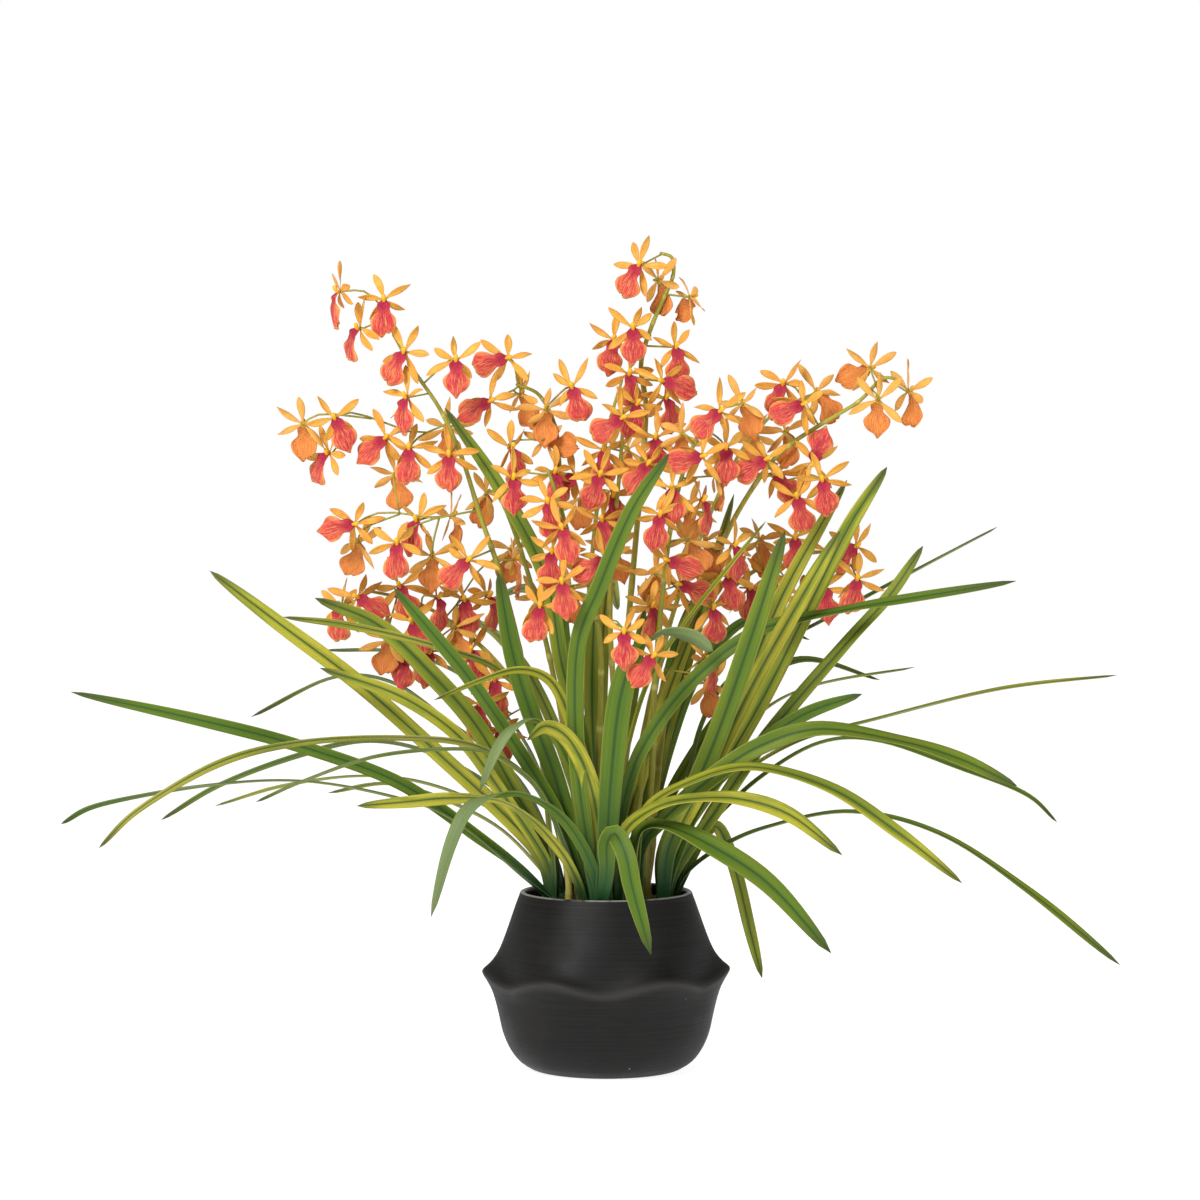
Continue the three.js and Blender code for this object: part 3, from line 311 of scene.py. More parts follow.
# Every leaf is a width and its traced path from the foot to the tip. A path row holds the place
# across and down the view, the depth away from the viewer, and the twist.
TUFTS = {
  "left": {
    "foot": [-45, -14],
    "leaves": [
      [12, [[520, 868, -20, 30], [480, 838, -32, 15], [400, 783, -52, 10], [300, 746, -66, 10],
        [200, 720, -80, 10], [71, 692, -95, 0]]],
      [15, [[542, 860, -16, 20], [510, 820, -24, 10], [440, 755, -34, 10], [360, 684, -42, 10],
        [280, 624, -50, 5], [210, 571, -54, 0]]],
      [13, [[546, 860, -22, 30], [500, 790, -42, 20], [460, 737, -56, 15], [400, 696, -64, 15],
        [320, 668, -70, 0]]],
      [17, [[550, 850, -10, 20], [520, 800, -16, 10], [480, 731, -22, 0], [440, 683, -28, 0],
        [380, 626, -32, 20], [315, 598, -34, 30]]],
      [11, [[525, 878, -24, 75], [455, 821, -44, 84], [395, 797, -56, 84], [300, 781, -68, 84],
        [200, 786, -78, 80], [100, 804, -86, 66], [61, 824, -90, 40]]],
      [12, [[552, 850, -28, 60], [535, 720, -28, 66], [500, 670, -42, 62], [434, 645, -66, 58],
        [350, 625, -76, 55], [283, 617, -80, 50]]]
    ]
  },
  "leftFront": {
    "foot": [-17, -40],
    "leaves": [
      [13, [[577, 870, -44, 20], [558, 815, -54, 10], [520, 752, -64, 10], [470, 679, -78, 10],
        [430, 630, -86, 10], [394, 588, -90, 0]]],
      [12, [[577, 880, -52, 20], [560, 850, -64, 30], [530, 818, -82, 55], [497, 800, -98, 62],
        [450, 798, -116, 30], [405, 802, -128, 10], [357, 806, -136, 0]]],
      [11, [[574, 868, -48, 60], [545, 800, -66, 70], [515, 766, -76, 74], [470, 749, -84, 78],
        [380, 755, -96, 78], [300, 782, -104, 74], [256, 802, -108, 60]]],
      [13, [[572, 866, -44, 60], [540, 790, -60, 68], [480, 747, -70, 66], [400, 737, -80, 64],
        [300, 742, -90, 64], [220, 762, -98, 62], [140, 808, -104, 62], [99, 848, -106, 50]]],
      [17, [[580, 870, -40, 10], [556, 780, -46, 0], [530, 710, -52, 0], [512, 650, -56, 0],
        [498, 572, -58, 0]]],
      [12, [[586, 870, -46, 20], [575, 785, -60, 30], [558, 742, -70, 50], [536, 720, -80, 70],
        [514, 726, -92, 120], [497, 748, -98, 150], [480, 790, -102, 170]]]
    ]
  },
  "front": {
    "foot": [-5, -56],
    "leaves": [
      [13, [[597, 880, -62, 0], [582, 845, -74, 20], [560, 815, -90, 50], [530, 796, -110, 66],
        [500, 794, -130, 66], [470, 806, -148, 150], [450, 845, -160, 170], [431, 917, -168, 180]]],
      [16, [[602, 860, -60, 0], [596, 810, -68, 0], [585, 768, -80, 10], [567, 737, -94, 20],
        [545, 726, -106, 40], [527, 740, -114, 60]]],
      [12, [[599, 860, -57, 0], [588, 780, -58, 0], [572, 725, -66, 20], [552, 682, -78, 40],
        [520, 669, -92, 60], [480, 680, -104, 62], [434, 700, -112, 60]]],
      [14, [[596, 860, -52, 0], [583, 745, -44, 0], [562, 665, -40, 0], [545, 575, -38, 0],
        [500, 488, -38, 0], [445, 408, -38, 0]]],
      [15, [[590, 860, -62, 0], [577, 760, -80, 0], [577, 650, -94, 0], [600, 585, -104, 0],
        [632, 510, -120, 0], [669, 454, -130, 0]]],
      [22, [[606, 860, -66, 0], [611, 780, -76, 0], [620, 700, -86, 10], [636, 655, -92, 50],
        [660, 635, -94, 100], [690, 637, -96, 130], [713, 651, -98, 150]]],
      [17, [[607, 872, -74, 20], [607, 846, -86, 10], [615, 834, -102, 0], [626, 856, -116, 0],
        [633, 890, -122, 0], [651, 955, -128, 0]]]
    ]
  },
  "rightFront": {
    "foot": [11, -48],
    "leaves": [
      [13, [[612, 868, -50, 0], [628, 785, -58, 0], [650, 735, -66, 0], [695, 678, -66, 0],
        [760, 630, -61, 30], [840, 611, -61, 66], [900, 600, -60, 40], [1016, 581, -58, 0]]],
      [15, [[620, 860, -56, 30], [626, 830, -74, 40], [655, 808, -94, 60], [690, 799, -106, 62],
        [740, 799, -114, 40], [790, 815, -120, 10], [842, 855, -124, 0]]],
      [8, [[617, 862, -46, 50], [622, 780, -46, 60], [645, 690, -52, 66], [680, 630, -66, 66],
        [720, 578, -80, 66], [766, 521, -90, 60]]]
    ]
  },
  "rightMiddle": {
    "foot": [29, -36],
    "leaves": [
      [19, [[632, 868, -46, 50], [640, 832, -64, 66], [665, 826, -80, 66], [710, 845, -90, 30],
        [770, 885, -96, 10], [831, 953, -100, 0]]],
      [13, [[636, 862, -42, 40], [645, 812, -60, 50], [685, 784, -76, 64], [750, 767, -88, 60],
        [830, 788, -96, 40], [900, 834, -102, 10], [962, 883, -106, 0]]],
      [16, [[640, 850, -39, 20], [665, 818, -54, 20], [715, 775, -68, 10], [760, 746, -76, 0],
        [820, 729, -78, 40], [900, 741, -82, 60], [960, 759, -86, 30], [1017, 786, -90, 0]]]
    ]
  },
  "right": {
    "foot": [49, -18],
    "leaves": [
      [19, [[668, 850, -26, 0], [690, 800, -34, 0], [720, 727, -60, 0], [752, 635, -94, 0],
        [785, 531, -108, 0]]],
      [15, [[672, 850, -18, 0], [712, 785, -28, 0], [762, 700, -40, 0], [812, 600, -52, 0],
        [850, 525, -60, 0], [887, 467, -64, 0]]],
      [15, [[670, 850, -24, 0], [705, 780, -40, 0], [755, 680, -62, 0], [800, 600, -76, 0],
        [840, 531, -82, 0]]],
      [15, [[664, 850, -12, 0], [698, 780, -10, 0], [742, 690, -8, 0], [785, 590, -4, 0],
        [847, 480, 2, 0]]],
      [13, [[678, 866, -14, 0], [715, 812, -20, 10], [768, 735, -28, 10], [845, 645, -34, 40],
        [890, 595, -36, 30], [923, 546, -38, 0]]],
      [13, [[674, 862, -20, 20], [704, 795, -30, 20], [755, 748, -34, 20], [805, 714, -36, 0],
        [862, 694, -38, 0]]],
      [10, [[680, 866, -10, 70], [710, 825, -12, 76], [760, 778, -16, 76], [820, 743, -22, 74],
        [880, 741, -30, 70], [960, 768, -42, 66], [1025, 794, -52, 60], [1057, 822, -56, 50]]]
    ]
  },
  "rightBack": {
    "foot": [59, 12],
    "leaves": [
      [12, [[686, 874, 4, 70], [715, 851, -2, 78], [765, 828, -10, 80], [850, 812, -22, 78],
        [940, 834, -38, 74], [1030, 892, -54, 50], [1120, 965, -66, 0]]],
      [12, [[690, 862, 20, 20], [706, 832, 30, 20], [720, 830, 42, 10], [736, 872, 50, 0],
        [750, 930, 54, 0], [762, 978, 56, 0]]],
      [11, [[684, 866, 10, 60], [720, 795, 8, 76], [790, 745, 8, 80], [880, 718, 6, 80],
        [1000, 689, 2, 80], [1117, 675, -2, 70]]],
      [10, [[678, 856, 16, 60], [700, 730, 22, 72], [745, 665, 30, 74], [830, 617, 41, 76],
        [920, 568, 44, 80], [997, 527, 44, 76]]],
      [9, [[680, 858, 22, 70], [706, 780, 36, 78], [755, 718, 48, 80], [812, 686, 56, 82],
        [915, 667, 62, 80]]]
    ]
  },
  "leftBack": {
    "foot": [-36, 27],
    "leaves": [
      [11, [[557, 860, 26, 60], [520, 780, 30, 74], [445, 718, 34, 78], [390, 681, 36, 78],
        [330, 678, 38, 76], [251, 717, 38, 50]]],
      [10, [[563, 850, 32, 60], [530, 750, 40, 70], [470, 680, 48, 72], [400, 652, 54, 72],
        [325, 650, 58, 60]]],
      [12, [[554, 862, 20, 60], [510, 800, 12, 70], [440, 756, 2, 70], [370, 740, -6, 70],
        [300, 754, -12, 68], [220, 784, -16, 62], [161, 820, -18, 50]]],
      [10, [[550, 866, 34, 70], [500, 815, 40, 78], [430, 784, 42, 80], [360, 776, 40, 80],
        [280, 786, 36, 76], [215, 806, 32, 60]]],
      [10, [[548, 876, 22, 66], [500, 828, 8, 72], [440, 797, -6, 74], [385, 783, -18, 72],
        [328, 793, -26, 60]]]
    ]
  },
  "centre": {
    "foot": [0, -2],
    "leaves": [
      [14, [[600, 850, -2, 0], [594, 760, 0, 0], [592, 680, 2, 0], [596, 570, 4, 0]]],
      [13, [[610, 850, 2, 0], [620, 770, 8, 0], [632, 690, 10, 0], [645, 608, 12, 0]]],
      [13, [[618, 850, 4, 10], [640, 780, 6, 10], [666, 700, 6, 10], [700, 610, 4, 10]]],
      [13, [[596, 850, -6, 0], [578, 760, -8, 0], [567, 680, -8, 0], [562, 590, -6, 0]]]
    ]
  },
  "back": {
    "foot": [-9, 50],
    "leaves": [
      [13, [[590, 840, 58, 10], [560, 740, 84, 20], [520, 660, 120, 40], [470, 620, 160, 60],
        [410, 640, 200, 70]]],
      [13, [[594, 840, 62, 10], [580, 730, 96, 10], [560, 640, 140, 20], [530, 590, 190, 40],
        [490, 600, 240, 60]]],
      [13, [[598, 840, 64, 0], [600, 720, 104, 0], [604, 620, 156, 0], [610, 580, 210, 0],
        [618, 610, 262, 0]]]
    ]
  },
  "backRight": {
    "foot": [31, 40],
    "leaves": [
      [12, [[642, 850, 38, 10], [662, 750, 42, 10], [690, 650, 48, 10], [734, 494, 56, 0]]],
      [12, [[644, 850, 50, 20], [668, 750, 78, 20], [700, 670, 118, 30], [750, 620, 164, 50],
        [810, 640, 206, 60]]],
      [12, [[646, 850, 46, 20], [684, 770, 66, 30], [735, 700, 94, 40], [800, 660, 126, 60],
        [880, 680, 152, 60]]],
      [12, [[640, 850, 54, 10], [656, 740, 92, 10], [676, 650, 140, 10], [700, 600, 192, 20],
        [722, 630, 244, 30]]]
    ]
  }
}

# Every spray is its foot, the traced path of its main stem and its blooms. A bloom row holds the
# place of its heart in the view, its depth, the angle of its lip from straight down in the view,
# and the way it faces: 0 is to the viewer, 90 to the right and 180 away.
SPRAYS = {
  "left": {
    "foot": [-33.5, -34],
    "stem": [[567, 870, -36], [549, 780, -40], [530, 700, -42], [515, 630, -42], [498, 567, -42],
      [480, 515, -42], [462, 458, -42], [441, 411, -42], [415, 372, -44], [393, 334, -46]],
    "blooms": [
      [397, 543, -52, 0, 0], [355, 524, -44, -80, -10], [358, 542, -26, -20, 160], [418, 520, -44, -10, -30],
      [450, 516, -30, 10, 120], [468, 560, -56, -45, 0], [432, 556, -28, 0, 180],
      [449, 455, -60, 0, 0], [409, 448, -50, 0, 0], [386, 438, -36, -50, -10], [395, 474, -26, 10, 170],
      [334, 418, -44, 25, 10], [303, 424, -38, 0, 180], [330, 453, -40, -45, -50],
      [408, 397, -56, 0, -40], [405, 352, -56, -30, -20], [384, 300, -56, 0, 0], [341, 291, -52, 0, -70],
      [361, 328, -50, -50, -60], [456, 360, -58, 0, 0]
    ]
  },
  "leftLow": {
    "foot": [-23.5, -24],
    "stem": [[572, 860, -18], [556, 790, -6], [540, 730, 4], [518, 690, 12], [490, 655, 18],
      [455, 625, 20], [415, 602, 20], [365, 590, 20]],
    "blooms": [
      [500, 730, 8, 0, 10], [480, 704, 4, 0, 0], [495, 680, -4, 0, 0],
      [470, 650, 4, 10, 20], [455, 628, 2, 10, 180], [430, 652, 6, -10, 0],
      [412, 622, 4, 20, 0], [408, 655, 12, -10, -20], [388, 640, 8, -10, 180], [465, 600, 4, 10, 0],
      [486, 596, 16, 20, 60], [436, 597, 0, -10, 50], [400, 586, 4, 20, 0], [358, 597, 6, 60, 0],
      [342, 606, 12, 0, -30], [512, 560, 6, 0, 100]
    ]
  },
  "frontCentre": {
    "foot": [-2, -30],
    "stem": [[601, 850, -32], [598, 770, -40], [601, 700, -52], [600, 640, -64], [590, 590, -74],
      [574, 550, -80], [560, 505, -84], [548, 470, -86]],
    "blooms": [
      [624, 632, -122, 0, 0], [653, 656, -124, -35, 0], [540, 606, -92, -10, 0], [562, 582, -98, 5, 0],
      [605, 560, -96, -65, 0], [552, 552, -100, -5, 0], [562, 528, -94, 15, 0], [548, 502, -92, 10, 0],
      [512, 478, -84, 0, 20]
    ]
  },
  "upperLeft": {
    "foot": [-20, -7],
    "stem": [[582, 850, -6], [572, 750, -2], [564, 660, 2], [562, 600, 2], [562, 540, 0],
      [560, 480, -2], [556, 430, -4], [540, 396, -6], [516, 384, -8]],
    "blooms": [
      [553, 472, -22, 0, 30], [575, 476, -14, -50, 0], [545, 441, -16, 80, 150], [510, 448, -20, 10, 40],
      [546, 410, -10, 0, 180], [572, 387, -22, 15, 0], [520, 394, -14, 20, 150], [490, 401, -28, -60, 0],
      [508, 358, -26, -75, -10]
    ]
  },
  "centre": {
    "foot": [20, 2],
    "stem": [[626, 850, -3], [621, 750, -14], [613, 680, -16], [610, 610, -18], [612, 550, -22],
      [618, 490, -24], [622, 440, -26], [622, 410, -26]],
    "blooms": [
      [602, 520, -36, 10, 0], [612, 496, -28, 0, 20], [600, 475, -42, -20, 0], [648, 464, -44, -35, 0],
      [604, 450, -34, 0, 0], [656, 438, -40, 0, 0], [622, 418, -42, -60, 0], [636, 404, -30, -20, 20]
    ]
  },
  "centreRight": {
    "foot": [38, -8],
    "stem": [[646, 850, -12], [652, 770, -20], [654, 700, -28], [658, 640, -36], [664, 580, -42],
      [672, 520, -46], [684, 470, -48], [702, 430, -50], [728, 404, -50]],
    "blooms": [
      [660, 515, -62, -10, 0], [668, 560, -58, 70, 0], [688, 540, -50, 30, 180], [672, 488, -62, 0, 0],
      [700, 500, -52, 10, 60], [702, 456, -64, -75, 0], [682, 434, -50, 0, 180], [720, 411, -62, -50, 0],
      [726, 448, -56, 0, 0], [742, 404, -52, 20, 160], [714, 476, -50, 40, 100]
    ]
  },
  "rightTop": {
    "foot": [36, 16],
    "stem": [[652, 850, 18], [658, 770, 22], [668, 700, 24], [686, 630, 20], [712, 565, 8],
      [742, 505, -8], [778, 455, -22], [820, 425, -26], [858, 402, -30], [882, 379, -32],
      [900, 380, -32]],
    "blooms": [
      [797, 497, -30, 10, 0], [822, 480, -36, 10, 0], [775, 474, -22, 40, 0], [766, 459, -40, -60, 0],
      [813, 462, -44, 160, 0], [785, 432, -20, 0, 150], [803, 404, -42, -65, 0], [784, 384, -34, -20, -20],
      [816, 392, -26, 40, 150], [878, 400, -38, 0, 180], [870, 368, -34, -70, 170], [908, 391, -34, 0, 130]
    ]
  },
  "rightLow": {
    "foot": [12, 24],
    "stem": [[622, 850, 28], [636, 770, 34], [658, 700, 36], [690, 640, 35], [730, 590, 42],
      [775, 560, 48], [820, 552, 44], [848, 556, 40]],
    "blooms": [
      [760, 540, 38, 0, 150], [768, 575, 36, 10, 20], [795, 538, 28, 0, 0], [748, 588, 40, 0, 30],
      [800, 596, 36, -10, 20], [825, 588, 24, 5, 0], [856, 546, 26, -50, 0], [857, 579, 24, -12, 0]
    ]
  },
  "centreLow": {
    "foot": [18, -22],
    "stem": [[632, 850, -22], [642, 780, -18], [650, 720, -14], [662, 660, -8], [684, 620, -4],
      [706, 585, -2], [728, 556, 0]],
    "blooms": [
      [708, 684, -12, 10, 180], [703, 660, -16, 30, 60], [712, 608, -20, 0, 20], [655, 574, -8, 0, 180],
      [680, 584, -14, 70, 0], [650, 606, -22, -10, 40], [733, 545, -24, 0, 40], [728, 576, -12, 10, 0],
      [704, 542, -8, 20, 150]
    ]
  },
  "top": {
    "foot": [4, 42],
    "stem": [[612, 850, 42], [618, 750, 38], [626, 650, 32], [634, 560, 24], [641, 480, 16],
      [646, 410, 10], [641, 365, 6], [651, 328, 2], [663, 300, 0], [673, 276, -2], [672, 258, -4],
      [660, 253, -6]],
    "blooms": [
      [664, 398, -6, 10, 40], [662, 381, -10, 75, 10], [628, 374, -8, 0, 20], [675, 347, -14, 0, 20],
      [633, 328, -14, 0, 0], [614, 340, -8, -10, 0], [658, 280, -2, 0, 140], [689, 297, -6, -70, 120],
      [640, 265, -12, -30, -20]
    ]
  },
  "backLeft": {
    "foot": [-16, 18],
    "stem": [[584, 840, 24], [568, 750, 40], [550, 660, 60], [530, 580, 78], [506, 510, 92],
      [476, 450, 100], [440, 410, 104]],
    "blooms": [
      [540, 596, 84, 20, 170], [512, 550, 100, -10, 190], [486, 494, 112, -20, 160],
      [446, 428, 112, 10, 180]
    ]
  },
  "backCentre": {
    "foot": [-26, 44],
    "stem": [[574, 840, 48], [578, 750, 62], [586, 660, 88], [590, 580, 116], [598, 500, 130],
      [608, 430, 138], [622, 380, 142]],
    "blooms": [
      [572, 590, 124, 0, 170], [614, 550, 132, 20, 190], [582, 496, 142, -10, 160],
      [628, 450, 148, 10, 200]
    ]
  },
  "backRight": {
    "foot": [14, 56],
    "stem": [[624, 840, 66], [640, 750, 84], [660, 660, 102], [684, 580, 116], [712, 510, 126],
      [742, 450, 132], [776, 410, 134]],
    "blooms": [
      [652, 606, 116, -10, 160], [704, 570, 128, 10, 200], [690, 510, 136, 0, 180],
      [756, 434, 144, -10, 190]
    ]
  }
}


# Curves and places


def from_view(across, down, depth):
    """The place at a depth that the traced view shows at a pixel."""
    right = (across - VIEW_CENTRE_PIXEL) * VIEW_MM_PER_PIXEL
    up = (VIEW_CENTRE_PIXEL - down) * VIEW_MM_PER_PIXEL
    cos, sin = math.cos(VIEW_ELEVATION), math.sin(VIEW_ELEVATION)
    share = (depth + VIEW_DISTANCE * cos) / (up * sin + VIEW_DISTANCE * cos)
    return np.array([
        VIEW_ACROSS + share * right,
        depth,
        VIEW_HEIGHT + VIEW_DISTANCE * sin + share * (up * cos - VIEW_DISTANCE * sin),
    ])


def unit(vector):
    return vector / max(float(np.linalg.norm(vector)), 1e-9)


def curve_value(rows, share):
    """A smooth curve through rows of numbers."""
    spans = len(rows) - 1
    place = min(max(share, 0), 1) * spans
    index = min(int(place), spans - 1)
    t = place - index
    b, c = rows[index], rows[index + 1]
    a = rows[index - 1] if index > 0 else 2 * b - c
    d = rows[index + 2] if index + 2 <= spans else 2 * c - b
    return 0.5 * (
        2 * b
        + (c - a) * t
        + (2 * a - 5 * b + 4 * c - d) * t * t
        + (3 * b - a - 3 * c + d) * t * t * t
    )


def curve_tangent(rows, share):
    ahead = curve_value(rows, min(share + CURVE_SLOPE_SHARE, 1))[:3]
    back = curve_value(rows, max(share - CURVE_SLOPE_SHARE, 0))[:3]
    return unit(ahead - back)


def path_length(rows):
    return float(np.linalg.norm(np.diff(rows[:, :3], axis=0), axis=1).sum())


def seeded_random(seed):
    """Draws from 0 to 1. A spray's are those of the part's source, so its petals lie on their solid."""
    state = seed
    while True:
        state = state * 16807 % 2147483647
        yield state / 2147483647


# Meshes


class Mesh:
    """Grids of points that become one closed, smooth mesh with marks for its material."""

    MARKS = ("along", "across", "edge", "under", "tone")

    def __init__(self):
        self.points, self.faces, self.marks = [], [], []
        self.count = 0

    def add(self, points, faces, marks):
        points = points.reshape(-1, 3)
        self.points.append(points)
        self.faces.extend([tuple(int(i) + self.count for i in face) for face in faces])
        values = [np.asarray(marks.get(name, 0.0), float) for name in self.MARKS]
        self.marks.append(np.stack([np.broadcast_to(value, (len(points),)) for value in values], axis=1))
        self.count += len(points)

    def tube(self, rings, marks):
        """A closed tube through rings of points."""
        length, sides = rings.shape[:2]
        index = np.arange(length * sides).reshape(length, sides)
        turned = np.roll(index, -1, axis=1)
        faces = np.stack([index[:-1], turned[:-1], turned[1:], index[1:]], axis=-1).reshape(-1, 4).tolist()
        faces += [index[0, ::-1].tolist(), index[-1].tolist()]
        self.add(rings, faces, marks)

    def sheet(self, top, bottom, marks):
        """A thin closed sheet between two grids of points that share their outline's shape."""
        rows, columns = top.shape[:2]
        upper = np.arange(rows * columns).reshape(rows, columns)
        under = upper + rows * columns
        faces = np.stack([upper[:-1, :-1], upper[1:, :-1], upper[1:, 1:], upper[:-1, 1:]], axis=-1)
        faces = faces.reshape(-1, 4).tolist()
        back = np.stack([under[:-1, :-1], under[:-1, 1:], under[1:, 1:], under[1:, :-1]], axis=-1)
        faces += back.reshape(-1, 4).tolist()
        border = np.concatenate([upper[0, :-1], upper[:-1, -1], upper[-1, :0:-1], upper[:0:-1, 0]])
        after = np.roll(border, -1)
        faces += np.stack([border, after, after + rows * columns, border + rows * columns], axis=-1).tolist()
        both = {name: np.concatenate([np.ravel(value), np.ravel(value)]) for name, value in marks.items()
                if np.ndim(value)}
        both.update({name: value for name, value in marks.items() if not np.ndim(value)})
        both["under"] = np.concatenate([np.zeros(rows * columns), np.ones(rows * columns)])
        self.add(np.concatenate([top.reshape(-1, 3), bottom.reshape(-1, 3)]), faces, both)

    def make(self, name, material):
        """The piece in the scene, in metres, with its marks stored at its points."""
        mesh = bpy.data.meshes.new(name)
        points = np.concatenate(self.points) * MM
        mesh.from_pydata(points.tolist(), [], self.faces)
        marks = np.concatenate(self.marks)
        for column, mark in enumerate(self.MARKS):
            attribute = mesh.attributes.new(mark, "FLOAT", "POINT")
            attribute.data.foreach_set("value", np.ascontiguousarray(marks[:, column], dtype=np.float32))
        mesh.polygons.foreach_set("use_smooth", [True] * len(mesh.polygons))
        mesh.materials.append(material)
        mesh.update()
        piece = bpy.data.objects.new(name, mesh)
        bpy.context.scene.collection.objects.link(piece)
        return piece


def place_piece(piece, node):
    """The piece rides on the plant's one body and stands for a solid."""
    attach(piece, "root")
    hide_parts(node)


def round_tube(mesh, centres, radii, sides, marks):
    """A round tube along centres, with rings that don't twist."""
    tangents = np.gradient(centres, axis=0)
    rings = []
    across = np.cross(unit(tangents[0]), VIEW_FORWARD)
    if np.linalg.norm(across) < 0.2:
        across = np.cross(unit(tangents[0]), [1.0, 0.0, 0.0])
    turns = np.arange(sides) * math.tau / sides
    for centre, tangent, radius in zip(centres, tangents, radii):
        tangent = unit(tangent)
        across = unit(across - tangent * float(across @ tangent))
        outward = np.cross(tangent, across)
        rings.append(centre + radius * (np.outer(np.cos(turns), across) + np.outer(np.sin(turns), outward)))
    mesh.tube(np.array(rings), marks)


# Pot


def ridge_height(angle):
    return RIDGE_HEIGHT + RIDGE_WAVE * np.cos(RIDGE_LOBES * angle) + RIDGE_RIGHT_RISE * np.cos(angle)


def ridge_radius(angle):
    return RIDGE_RADIUS + RIDGE_LOBE_DEPTH * np.cos(RIDGE_LOBES * angle)


def flat_ring(radius, height, sides):
    turns = np.arange(sides) * math.tau / sides
    return np.stack([radius * np.cos(turns), radius * np.sin(turns), np.full(sides, height)], axis=1)


def pot_profile():
    """Rows of height, radius and share of the ridge, closely spaced from the foot over the rim."""
    rows = np.array(POT_OUTSIDE, float)
    steps = []
    for index in range(len(rows) - 1):
        span = float(np.linalg.norm(rows[index + 1, :2] - rows[index, :2]))
        count = max(2, round(span / POT_RING_STEP))
        for step in range(count):
            steps.append((index + step / count) / (len(rows) - 1))
    steps.append(1.0)
    return np.array([curve_value(rows, share) for share in steps])


def make_pot(material):
    """The pinched vessel with its wall and floor, thrown with fine rings."""
    profile = pot_profile()
    angles = np.arange(POT_SIDES) * 2 * math.pi / POT_SIDES
    rings, ridge_highlight_marks = [], []
    for height, radius, follow in profile:
        follow = min(max(follow, 0), 1)
        radii = radius + follow * follow * (ridge_radius(angles) - RIDGE_RADIUS)
        heights = np.clip(height + follow * (ridge_height(angles) - RIDGE_HEIGHT), 0, None)
        if THROWN_FROM < height < THROWN_TO:
            sway = THROWING_SWAY * np.sin(angles * 2)
            radii = radii + THROWING_DEPTH * np.sin(height * THROWING_RATE + sway)
        rings.append(np.stack([radii * np.cos(angles), radii * np.sin(angles), heights], axis=1))
        # Nearness to the ridge, which the material paints as a highlight along the ridge
        nearness = max(0.0, 1 - abs(height - RIDGE_HEIGHT) / RIDGE_HIGHLIGHT_REACH)
        ridge_highlight_marks.append(np.full(POT_SIDES, nearness))
    for height, radius in POT_INSIDE:
        rings.append(flat_ring(radius, height, POT_SIDES))
        ridge_highlight_marks.append(np.zeros(POT_SIDES))
    mesh = Mesh()
    rim = next(index for index, row in enumerate(profile) if row[0] > RIM_GLAZE_HEIGHT)
    inner = np.zeros((len(rings), POT_SIDES))
    inner[rim:] = 1
    mesh.tube(np.array(rings), {"edge": np.ravel(ridge_highlight_marks), "under": np.ravel(inner)})
    place_piece(mesh.make("vessel", material), "pot")


# Potting mix and moss


def soil_height(x, y):
    """The crowned top of the potting mix with its lumps, in millimetres."""
    reach = math.hypot(x, y) / SOIL_RADIUS
    lumps = sum(
        share * noise.noise(Vector((x * rate, y * rate, place)))
        for rate, place, share in SOIL_NOISES
    )
    crown = SOIL_CROWN * (1 - reach * reach)
    return SOIL_TOP + crown + SOIL_LUMPS * lumps * (1 - reach ** SOIL_EDGE_POWER) - SOIL_SINK


def make_soil(material):
    """Lumpy potting mix that fills the pot to just below the mouth."""
    turns = np.arange(SOIL_SIDES) * 2 * math.pi / SOIL_SIDES
    rings = []
    for height, radius in reversed(POT_INSIDE):
        level = min(max(height, POT_INSIDE[-1][0] + SOIL_GAP), SOIL_TOP)
        rings.append(flat_ring(radius - SOIL_GAP, level, SOIL_SIDES))
    for ring in range(SOIL_RINGS):
        radius = SOIL_RADIUS * (1 - (ring + 0.5) / SOIL_RINGS)
        places = [(radius * math.cos(turn), radius * math.sin(turn)) for turn in turns]
        rings.append(np.array([(x, y, soil_height(x, y)) for x, y in places]))
    mesh = Mesh()
    mesh.tube(np.array(rings), {})
    place_piece(mesh.make("potting_mix", material), "soil")


def make_moss(material):
    """A carpet of small curled moss fronds on the potting mix."""
    mesh = Mesh()
    random = seeded_random(MOSS_SEED)
    steps = np.linspace(0, 1, MOSS_RINGS)
    radii = MOSS_RADIUS * (1 - MOSS_TAPER * steps)
    for _ in range(MOSS_FRONDS):
        radius = MOSS_REACH * math.sqrt(next(random))
        turn = 2 * math.pi * next(random)
        x, y = radius * math.cos(turn), radius * math.sin(turn)
        foot = np.array([x, y, soil_height(x, y) - MOSS_SINK])
        lean = 2 * math.pi * next(random)
        length = MOSS_SHORTEST + MOSS_SPREAD * next(random)
        aside = np.outer(length * MOSS_LEAN * steps ** 2, [math.cos(lean), math.sin(lean), 0])
        above = np.outer(length * (steps - MOSS_DROOP * steps ** 2), [0, 0, 1])
        marks = {"tone": next(random), "along": np.repeat(steps, MOSS_SIDES)}
        round_tube(mesh, foot + aside + above, radii, MOSS_SIDES, marks)
    piece = mesh.make("moss", material)
    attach(piece, "root")


# Leaves


def leaf_width_share(share):
    if share < LEAF_TIP_START:
        return LEAF_ROOT_SHARE + (1 - LEAF_ROOT_SHARE) * min(share / LEAF_FULL_FROM, 1)
    rest = (share - LEAF_TIP_START) / (1 - LEAF_TIP_START)
    return math.sqrt(max(1 - rest ** LEAF_TIP_ROUNDING, 0))


